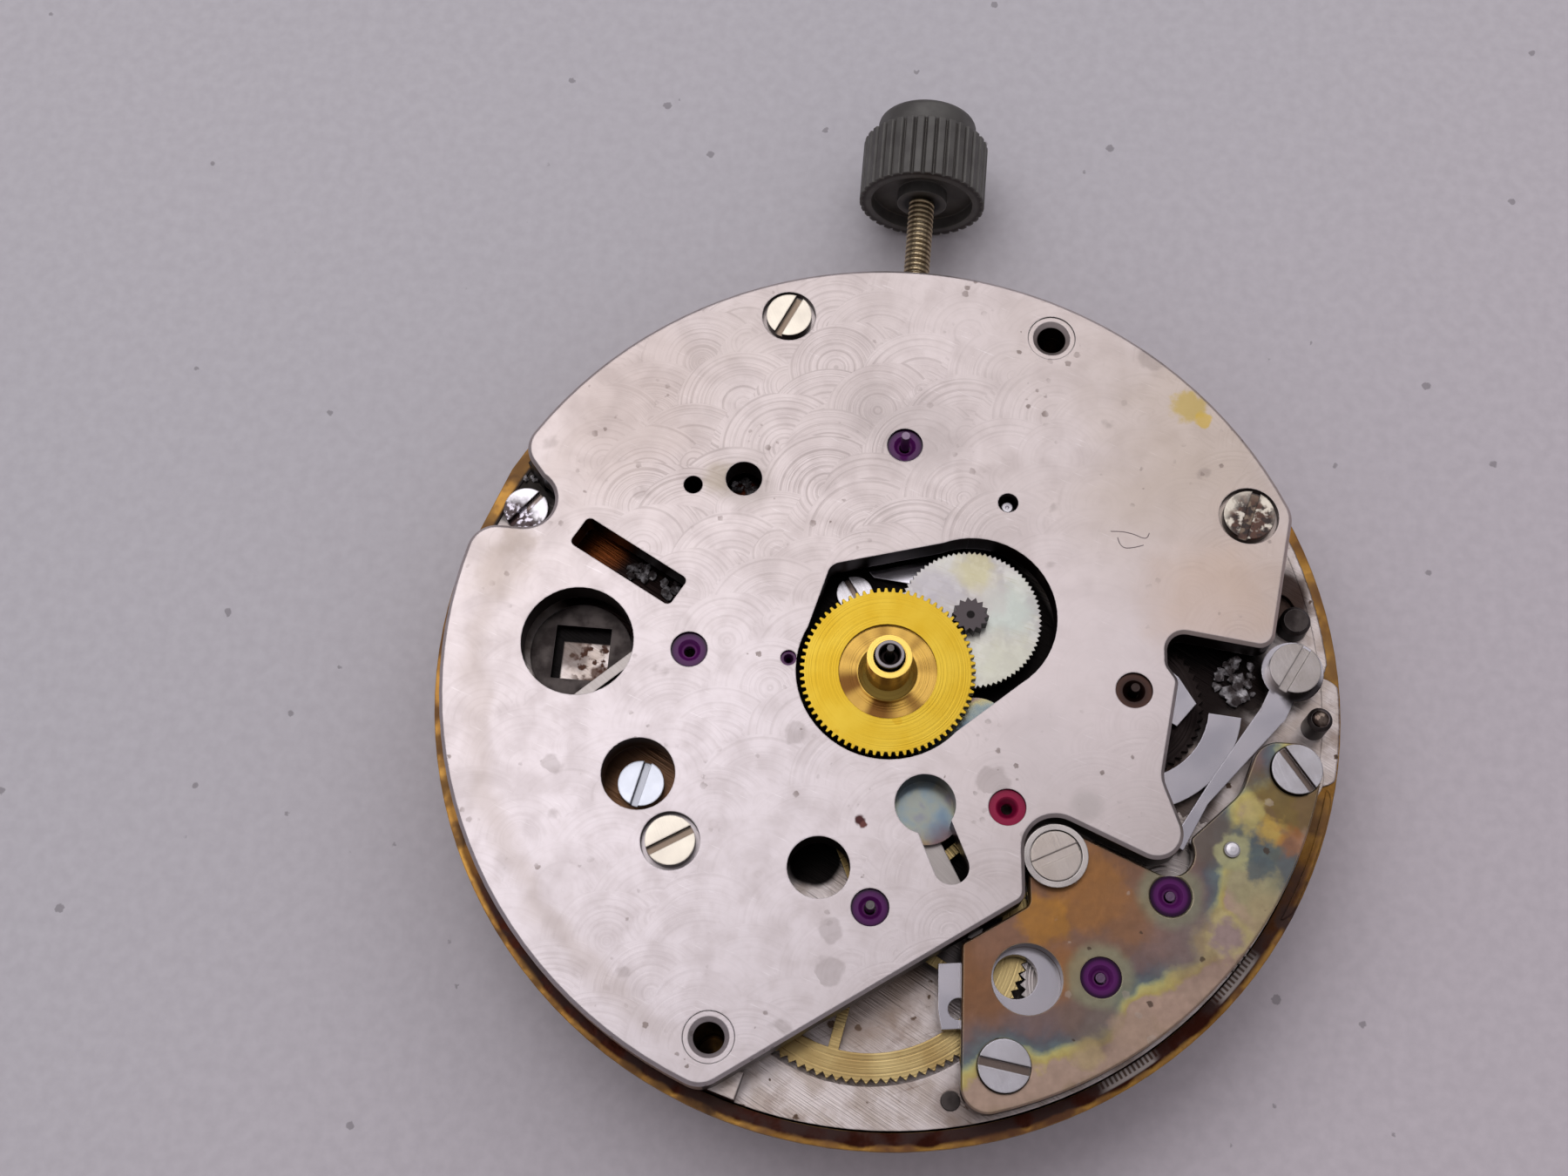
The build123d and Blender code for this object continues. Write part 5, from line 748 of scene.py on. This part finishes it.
# Ring marks: the topmost of the rings that cover a place. Each ring has its
# own lot, from its number and its row, which sets its slip, tone and height.
ring_marks, given, give = new_group("ring_marks", dict(
    Place=None, Radius=2.3, Across=2.6, Down=1.5), "Tone Stamp")
x, y, _ = apart(given["Place"])
radius, across, down = given["Radius"], given["Across"], given["Down"]
lowest = ((y - radius) / down).reckon("CEIL")
tone = stamp = None
for later in (2, 1, 0):
    row = lowest + float(later)
    drop = y - row * down
    half = (radius * radius - drop * drop).reckon("MAXIMUM", 0.0).reckon("SQRT")
    start = x - row * across * 0.46
    number = ((start + half) / across).reckon("FLOOR")
    lot = number * 17.3 + row * 5.9
    slip = [(lot * turn).reckon("FRACT").reckon("MULTIPLY_ADD", 1.5, -0.75)
            for turn in (0.713, 0.437)]
    side = start - number * across - slip[0]
    drop = drop - slip[1]
    reach = (side * side + drop * drop).reckon("SQRT")
    rings = put(ring_marks, "TexNoise", {
        "W": reach.reckon("MULTIPLY_ADD", 8.0, lot), "Scale": 1.0, "Detail": 3.0},
        noise_dimensions="1D")[0]
    height = (lot * 0.371).reckon("FRACT")
    if tone is None:
        tone, stamp = rings, height
    else:
        covered = reach.reckon("LESS_THAN", radius)
        tone = level(covered, tone, rings)
        stamp = level(covered, stamp, height)
give(Tone=tone, Stamp=stamp)

silvered, place = new_finish("ringed_nickel", (214, 203, 202), 0.34, 0.85)
ringed = effect(ring_marks, place)
smudge = patchy(place, 0.9, 0.42, 0.14, 12.0, 9.0)
# Where the rings show: most at the upper left and middle, less in random patches, and least
# towards the lower left, which a painted highlight washes out.
rings_showing = (spotted(place, -4.5, 7.5, 7.2, 0.5, 0.35) * 0.9).reckon("MAXIMUM", 0.25)
rings_showing = rings_showing * level(patchy(place, 4.5, 0.4, 0.12, 31.0, 3.0), 0.35, 1.0)
colour = between(patchy(place, 3.6, 0.5, 0.2, 1.0, 7.0), (196, 185, 183), (206, 195, 194))
# A painted pool of light makes the lower left paler.
colour = lay(colour, spotted(place, -7.5, -7.5, 9.0, 0.6, 0.3) * 0.6, (216, 208, 213))
colour = lay(colour, smudge * 0.22, (178, 164, 160))
colour = lay(colour, patchy(place, 0.35, 0.4, 0.12, 15.0, 6.0) * 0.14, (172, 160, 157))
strokes = grained(place, 0.35, 0.06, 1.1, 8.0)
colour = lay(colour, window(strokes, 0.62, 0.72) * 0.35, (240, 234, 236))
arcs = window(ringed["Tone"], 0.52, 0.36) * rings_showing
colour = lay(colour, arcs * 0.7, (150, 139, 136))
colour = lay(colour, ringed["Stamp"] * rings_showing * 0.36, (172, 160, 157))
colour = stains(colour, place, [
    (6.5, 0.0, 4.5, 0.7, 0.4, 0.45, (224, 212, 213)),
    (10.3, 9.6, 3.4, 0.6, 0.5, 0.42, (176, 158, 136)),
    (12.4, 4.6, 2.6, 0.6, 0.5, 0.40, (196, 174, 156)),
    (9.2, 6.0, 3.0, 0.7, 0.5, 0.30, (196, 180, 168)),
    (6.0, 12.6, 2.4, 0.7, 0.5, 0.30, (184, 170, 160)),
    (-10.2, 8.2, 2.8, 0.7, 0.5, 0.35, (178, 162, 154)),
    (-1.2, 9.1, 1.1, 0.8, 0.6, 0.45, (160, 150, 148)),
    (-5.4, 6.3, 0.9, 0.5, 0.3, 0.5, (150, 140, 134)),
    (5.2, -2.6, 1.6, 0.8, 0.5, 0.25, (184, 176, 178)),
    (2.6, 4.4, 1.3, 0.8, 0.5, 0.35, (166, 156, 154)),
    (9.7, 10.5, 0.55, 0.3, 0.7, 0.8, (184, 160, 88)),
    (10.3, 10.0, 0.30, 0.3, 0.7, 0.8, (196, 166, 78)),
    (-0.55, -5.18, 0.17, 0.3, 0.3, 1.0, (70, 40, 40)),
    (-0.42, -5.32, 0.12, 0.3, 0.3, 1.0, (96, 60, 56)),
    (-6.3, 6.45, 0.55, 0.5, 0.5, 0.55, (150, 138, 118)),
    (0.9, 8.6, 1.3, 0.5, 0.5, 0.4, (158, 148, 146)),
    (10.6, 3.5, 2.0, 0.6, 0.6, 0.35, (200, 172, 150)),
    (6.8, -4.1, 0.5, 0.5, 0.3, 0.55, (176, 168, 166)),
    (-13.4, 2.6, 1.0, 0.6, 0.7, 0.5, (172, 158, 148)),
    (-12.9, 3.6, 0.6, 0.5, 0.9, 0.6, (160, 146, 136)),
    (-9.3, 9.5, 2.2, 0.6, 0.7, 0.45, (170, 156, 150)),
    (-5.6, 12.2, 1.6, 0.7, 0.7, 0.35, (176, 164, 158)),
])
pits = speckled(place, 0.34, 0.34, 3.0) * patchy(place, 2.0, 0.34, 0.08, 21.0)
colour = lay(colour, pits * 0.75, (112, 98, 92))
from_axis = from_point(place)
ragged_axis = effect(patches, place, Size=1.6, Seed=17.0, Detail=6.0)["Tone"].reckon(
    "MULTIPLY_ADD", 1.4, from_axis)
rubbed = window(ragged_axis, 13.8, 14.4) - window(ragged_axis, 14.5, 15.2)
rubbed = rubbed * spotted(place, -13.5, -3.5, 10.5, 0.4, 0.2)
colour = lay(colour, rubbed * 0.4, (172, 158, 150))
# Inner upright faces are painted nearly black as shade; the outer rim's wall, a lit face, is
# painted paler. Sharp edges are lightened, partly as painted highlight.
rim_side = window(from_axis, 14.86, 14.9)
wall = walled(place)
edge = edged(place, 0.05)
colour = lay(colour, wall * (1.0 - rim_side), (38, 25, 22))
colour = lay(colour, wall * rim_side, (150, 128, 112))
colour = lay(colour, speckled(place, 1.6, 0.25, 9.0) * 0.3, (120, 108, 104))
silvered.join(Base_Color=lay(colour, edge["Mask"], (240, 234, 234)),
              Roughness=level(smudge, 0.34, 0.39))
relief(silvered, ringed["Tone"] * rings_showing, 0.010, edge["Normal"])
dress(silvered, "top_plate", "eyelets")


# Jewels
# Synthetic ruby bearings with polished oil sinks, and one bronze bush where
# the hour counter's arbor comes through.
def bearing(name, places, rings):
    """A bearing stone whose colour runs in rings round each of its places."""
    finish, place = new_finish(name, rings[0][1], 0.12, 0.0, Specular_IOR_Level=0.22)
    nearest = from_point(place, *places[0])
    for x, y in places[1:]:
        nearest = nearest.reckon("MINIMUM", from_point(place, x, y))
    return finish, place, bands(nearest, rings)


# The lighter ring in each stone's colour is a painted reflection of its polished oil sink.
ruby, place, colour = bearing("ruby", (
    (-6.69, 0.165), (-3.345, 0.15), (0, 8.2), (0, -8.0), (7.53, -9.51), (9.67, -6.68)), (
    (0.0, (30, 4, 30)), (0.17, (58, 12, 62)), (0.22, (126, 66, 128)), (0.28, (84, 22, 88)),
    (0.42, (98, 34, 104)), (0.52, (88, 28, 94)), (0.60, (48, 10, 52))))
rose_place = (4.215, -4.335)
rose = between(window(from_point(place, *rose_place), 0.28, 0.40), (104, 10, 44), (166, 34, 76))
ruby.join(Base_Color=lay(colour, spotted(place, *rose_place, 0.8, 0.05, 0.0), rose))
dress(ruby, "top_plate_jewels", "stained_bridge_jewels")
back_ruby, place, colour = bearing("back_ruby", (
    (-0.98, -4.39), (0, -8.0), (2.89, -9.05), (7.605, -6.0)), (
    (0.0, (70, 6, 30)), (0.15, (110, 16, 50)), (0.3, (176, 40, 80)), (0.5, (150, 24, 64))))
back_ruby.join(Base_Color=colour)
dress(back_ruby, "bridge_jewels")
bronze, place = new_finish("old_bronze", (92, 58, 40), 0.3, 0.5)
bronze.join(Base_Color=between(window(from_point(place, 8.2), 0.25, 0.6), (26, 10, 8),
                               (76, 46, 36)))
dress(bronze, "hour_counter_bush")


# Screws
# Steel screws with polished heads, in counterbores. The slots hold old oil,
# and the screw near 5 o'clock has rusted through its polish.
def screw_steel(name, bright, dull, slot_level, rough):
    """Polished screw steel, browned below the head's face."""
    finish, place = new_finish(name, bright, rough, 1.0)
    edge = edged(place, 0.05)
    colour = between(patchy(place, 0.9, softness=0.2, seed=6.0), bright, dull)
    low = window(apart(place)[2], slot_level + 0.02, slot_level - 0.02)
    colour = lay(colour, low * 0.85, (96, 76, 60))
    # Upright faces are darkened, partly as painted shade, and sharp edges are lightened, partly as
    # painted highlight.
    colour = lay(colour, walled(place), (50, 38, 33))
    relief(finish, grained(place, 1.1, 0.03, 1.5), 0.004, edge["Normal"])
    return finish, place, lay(colour, edge["Mask"], bright)


plate_screw, place, colour = screw_steel(
    "warm_screw", (214, 206, 192), (196, 188, 176), 0.0, 0.28)
crust = spotted(place, 12.1, 6.4, 0.9, 0.3, 0.6) * patchy(place, 0.32, 0.6, 0.05, 44.0, 7.0)
crust_colour = between(patchy(place, 0.2, seed=45.0), (44, 22, 15), (92, 54, 36))
plate_screw.join(Base_Color=lay(colour, crust, crust_colour), Metallic=level(crust, 1.0, 0.1))
dress(plate_screw, "plate_screws")
for name, node, slot_level in (("low_screw", "module_screws", -1.34),
                               ("bridge_screw", "stained_bridge_screws", -0.40)):
    finish, place, colour = screw_steel(
        name, (208, 205, 211), (184, 180, 183), slot_level, 0.24)
    colour = stains(colour, place, [
        (13.65, 1.44, 1.2, 0.05, 0.05, 0.6, (150, 138, 126)),
        (5.94, -5.81, 1.15, 0.05, 0.05, 0.7, (186, 172, 158)),
        (-7.92, -4.24, 1.2, 0.05, 0.05, 0.5, (176, 186, 200)),
        (-13.45, 4.85, 0.8, 0.3, 0.7, 0.95, (46, 34, 34)),
        (-12.6, 4.6, 0.3, 0.3, 0.9, 0.9, (46, 34, 34)),
    ])
    frost = patchy(place, 0.18, 0.4, 0.05, 5.0) * spotted(
        place, -13.3, 4.75, 0.75, 0.2, 0.6)
    finish.join(Base_Color=lay(colour, frost, (186, 180, 190)))
    dress(finish, node)
finish, place, colour = screw_steel(
    "back_screw", (206, 204, 208), (190, 188, 192), -20.0, 0.2)
finish.join(Base_Color=colour)
dress(finish, "bridge_screws")


# Motion work
# The hour wheel is bright gilt brass with a turned dish round its pipe. The
# minute wheel is nickel-plated and stained; the pinions are dark steel.
hour_gold, place = new_finish("bright_gilt", (255, 218, 46), 0.30, 0.8)
x, y, z = apart(place)
reach = from_point(place)
dish = window(reach, 1.66, 1.64) * window(z, -0.13, -0.16)
pipe = window(reach, 1.05, 0.95)
# In the dish the colour runs dark and light in soft sectors round the pipe: the painted shadow of
# the pipe and a painted reflection.
way = y.reckon("ARCTAN2", x)
ray = put(place.tree, "CombineXYZ", {0: way.reckon("COSINE"), 1: way.reckon("SINE")})[0]
fan = put(place.tree, "TexNoise", {"Vector": ray, "Scale": 1.3, "Detail": 1.0})[0]
haze = patchy(place, 1.2, softness=0.2, detail=7.0)
colour = between(haze, (212, 179, 58), (202, 164, 38))
colour = lay(colour, speckled(place, 0.5, 0.10, 4.0) * 0.5, (196, 150, 20))
colour = lay(colour, dish, between(window(fan, 0.36, 0.62), (98, 62, 18), (186, 148, 70)))
# Upright faces, except the pipe's, are darkened, partly as painted shade.
colour = lay(colour, walled(place) * (1.0 - pipe), (104, 84, 16))
hour_gold.join(Base_Color=lay(colour, pipe, (222, 186, 92)),
               Roughness=level(dish.reckon("MAXIMUM", pipe), 0.32, 0.16))
relief(hour_gold, turned_lines(reach, 14.0, 2.0), 0.004, edged(place, 0.03)["Normal"])
dress(hour_gold, "hour_wheel")

minute_nickel, place = new_finish("stained_nickel", (214, 208, 198), 0.34, 0.75)
colour = between(patchy(place, 1.1, softness=0.14, seed=2.0, detail=6.0), (176, 170, 170),
                 (204, 202, 192))
colour = lay(colour, patchy(place, 0.35, 0.45, 0.06, 9.0, 7.0) * 0.4, (220, 218, 214))
lines = grained(place, 0.3, 0.05, 0.8, 2.0)
colour = lay(colour, window(lines, 0.55, 0.7) * 0.5, (176, 166, 138))
colour = stains(colour, place, [
    (2.7, 4.0, 0.7, 0.4, 0.8, 0.6, (196, 188, 138)),
    (1.5, 3.3, 0.8, 0.5, 0.5, 0.6, (176, 170, 178)),
    (4.0, 2.6, 0.9, 0.5, 0.6, 0.7, (196, 206, 196)),
    (3.9, 0.7, 1.0, 0.5, 0.6, 0.6, (204, 204, 184)),
    (3.2, 3.0, 0.6, 0.5, 0.6, 0.5, (188, 180, 176)),
])
near = from_point(place, 2.635, 2.211)
pinion = window(near, 0.68, 0.66) * window(apart(place)[2], -0.55, -0.53)
# Upright faces and the gaps between the teeth are darkened, partly as painted shade, and the
# pinion's middle is painted near-black as the shade in its bore.
wall = walled(place)
colour = lay(colour, wall * 0.85, (70, 60, 52))
steel_tone = between(window(near, 0.16, 0.12), (78, 71, 73), (14, 9, 9))
steel_tone = lay(steel_tone, wall, (26, 20, 20))
minute_nickel.join(Base_Color=lay(colour, pinion, steel_tone),
                   Normal=edged(place, 0.03)["Normal"])
dress(minute_nickel, "minute_wheel")

pinion_steel, place = new_finish("pinion_steel", (128, 124, 126), 0.22, 1.0)
# Upright faces are darkened, partly as painted shade, and the bore is painted near-black as shade.
colour = between(walled(place), (122, 116, 118), (58, 50, 48))
bore_shadow = window(from_point(place), 0.40, 0.36)
pinion_steel.join(Base_Color=lay(colour, bore_shadow, (20, 15, 15)),
                  Normal=edged(place, 0.04)["Normal"])
dress(pinion_steel, "cannon_pinion", "centre_arbor")


# Salt crystals
# Water has left clumps of grey-white salt crystals in the deep openings of
# the dial side. Each clump sits on the module plate.
salt, place = new_finish("grey_salt", (150, 145, 148), 0.22, 0.1)
salt.join(Base_Color=between(patchy(place, 0.34, 0.42, 0.12, detail=5.0), (84, 76, 76),
                             (212, 208, 211)))
floor_level, lowest_lift = -1.75, 0.002


def crystals(name, x, y, reach_x, reach_y, count, seed, size):
    """A clump of small ragged grains on the module plate, in mm."""
    chance = random.Random(seed)
    clump = bmesh.new()
    for _ in range(count):
        spread, turn = math.sqrt(chance.random()), chance.uniform(0, math.tau)
        grain_size = size * chance.uniform(0.4, 1.5)
        middle = Vector((x + reach_x * spread * math.cos(turn),
                         y + reach_y * spread * math.sin(turn),
                         floor_level + 0.6 * grain_size))
        made = bmesh.ops.create_icosphere(clump, subdivisions=1, radius=grain_size,
                                          matrix=Matrix.Translation(middle))
        for corner in made["verts"]:
            corner.co += Vector([chance.uniform(-0.3, 0.3) * grain_size for _ in range(3)])
            corner.co.z = max(corner.co.z, floor_level + lowest_lift)
    for corner in clump.verts:
        corner.co /= 1000
    add_piece(name, clump, salt)


crystals("slot_crystals", -8.8, 3.35, 0.55, 0.30, 34, 1, 0.10)
crystals("slot_end_crystals", -7.75, 2.85, 0.30, 0.35, 16, 2, 0.12)
crystals("slot_corner_crystals", -10.95, 4.72, 0.16, 0.14, 10, 3, 0.075)
crystals("tool_hole_crystals", -5.50, 6.86, 0.46, 0.30, 46, 4, 0.075)
crystals("recess_crystals", 11.85, 1.20, 0.72, 0.80, 52, 5, 0.16)
crystals("notch_crystals", -13.1, 6.6, 0.35, 0.15, 14, 6, 0.075)


# Pin in the plate hole
# A small locating pin stands in the round hole beside the window. Its end is
# turned bright, with the lathe centre's dimple in it.
def turned(name, x, y, outline, finish, sides=40):
    """A turned piece: the outline, as (radius, level) in mm, goes round an upright axis."""
    form = bmesh.new()
    rows = []
    for radius, height in outline:
        rows.append([form.verts.new((
            (x + radius * math.cos(math.tau * side / sides)) / 1000,
            (y + radius * math.sin(math.tau * side / sides)) / 1000,
            height / 1000)) for side in range(sides)])
    stitch(form, rows)
    add_piece(name, form, finish)


pin_white, place = new_finish("bright_pin", (226, 222, 228), 0.3, 0.5)
# The pin's sides are darkened, partly as painted shade.
pin_white.join(Base_Color=between(walled(place), (228, 224, 230), (60, 50, 50)))
turned("hole_pin", 3.68, 6.36, (
    (0.20, -1.74), (0.20, -0.50), (0.17, -0.46), (0.07, -0.46), (0.03, -0.52)), pin_white)


# Post ends
# Two steel posts end in view: a bright pin at the stained bridge, and a domed,
# burnished post by the rim, both turned on the lathe.
turned("bridge_pin_end", 11.61, -5.0, (
    (0.26, -0.58), (0.26, -0.46), (0.20, -0.40), (0.08, -0.38)), pin_white)
burnished, place = new_finish("burnished_end", (122, 108, 98), 0.12, 1.0)
burnished.join(Base_Color=between(patchy(place, 0.3, softness=0.15), (132, 118, 108),
                                  (72, 58, 52)))
dome_radius, dome_foot, dome_height = 0.30, -0.60, 0.17
dome = [(dome_radius * math.cos(step * math.pi / 16),
         dome_foot + dome_height * math.sin(step * math.pi / 16)) for step in range(8)]
turned("post_dome", 14.49, -0.285, dome, burnished)


# Silver margin
# On the 6 o'clock side the module plate's bright margin laps over the flange
# as a thin lip, pitted along its edge. Beside it the gilt lip is crusted.
def arc_strip(name, inner, outer, high, start, end, finish, steps=72):
    """A flat strip between two radii, in mm, from one angle to another, in degrees."""
    low, bevel, taper_steps = -1.85, 0.03, 8
    form = bmesh.new()
    chance = random.Random(8)
    rows = []
    for step in range(steps + 1):
        angle = math.radians(start + (end - start) * step / steps)
        nibble = chance.uniform(-0.02, 0.0)
        taper = max(0.0, 1 - min(step, steps - step) / taper_steps) ** 2
        rim = outer + nibble - (outer - inner - 0.06) * taper
        rows.append([form.verts.new((
            radius * math.cos(angle) / 1000, radius * math.sin(angle) / 1000, height / 1000))
            for radius, height in ((inner, low), (rim, low), (rim, high - bevel),
                                   (rim - 0.04, high), (inner, high))])
    stitch(form, rows)
    add_piece(name, form, finish)


arc_strip("margin_lip", 14.80, 15.40, -1.76, -9, 6, module)
arc_strip("crusted_lip", 15.14, 15.40, -1.78, -27, -9, rim_gilt)
arc_strip("upper_margin_lip", 14.80, 15.12, -1.76, 6, 27, module)


# Hairline on the plate
# A fine curled scratch lies on the dial-side plate, on the side of 5 o'clock.
# Dirt has darkened it. It is made as two thin strips with a low ridge.
hair, place = new_finish("hairline", (120, 108, 108), 0.5, 0.3)
hair.join(Base_Color=between(patchy(place, 0.3, softness=0.2), (128, 116, 116),
                             (150, 138, 138)))
hair_width, hair_level = 0.018, 0.004
hair_routes = (((7.21, 5.59), (7.6, 5.61), (7.95, 5.56), (8.4, 5.44), (8.54, 5.7)),
               ((7.45, 5.39), (7.55, 5.15), (7.73, 5.03), (8.05, 5.08), (8.41, 5.21)))
for number, route in enumerate(hair_routes):
    line = [Vector(point).to_3d() for point in route]
    path = []
    for leg in range(len(line) - 1):
        before, here = line[max(leg - 1, 0)], line[leg]
        there, after = line[leg + 1], line[min(leg + 2, len(line) - 1)]
        for step in range(8):
            t = step / 8
            path.append(0.5 * ((2 * here) + (there - before) * t
                               + (2 * before - 5 * here + 4 * there - after) * t * t
                               + (3 * here - before - 3 * there + after) * t * t * t))
    form = bmesh.new()
    rows = []
    for point, following in zip(path, path[1:]):
        ahead = (following - point).normalized()
        beside = Vector((-ahead.y, ahead.x, 0)) * hair_width
        rows.append([form.verts.new((corner.x / 1000, corner.y / 1000, height / 1000))
                     for corner, height in ((point - beside, 0.0), (point, hair_level),
                                            (point + beside, 0.0))])
    stitch(form, rows, closed=False)
    add_piece("hairline_%d" % number, form, hair)
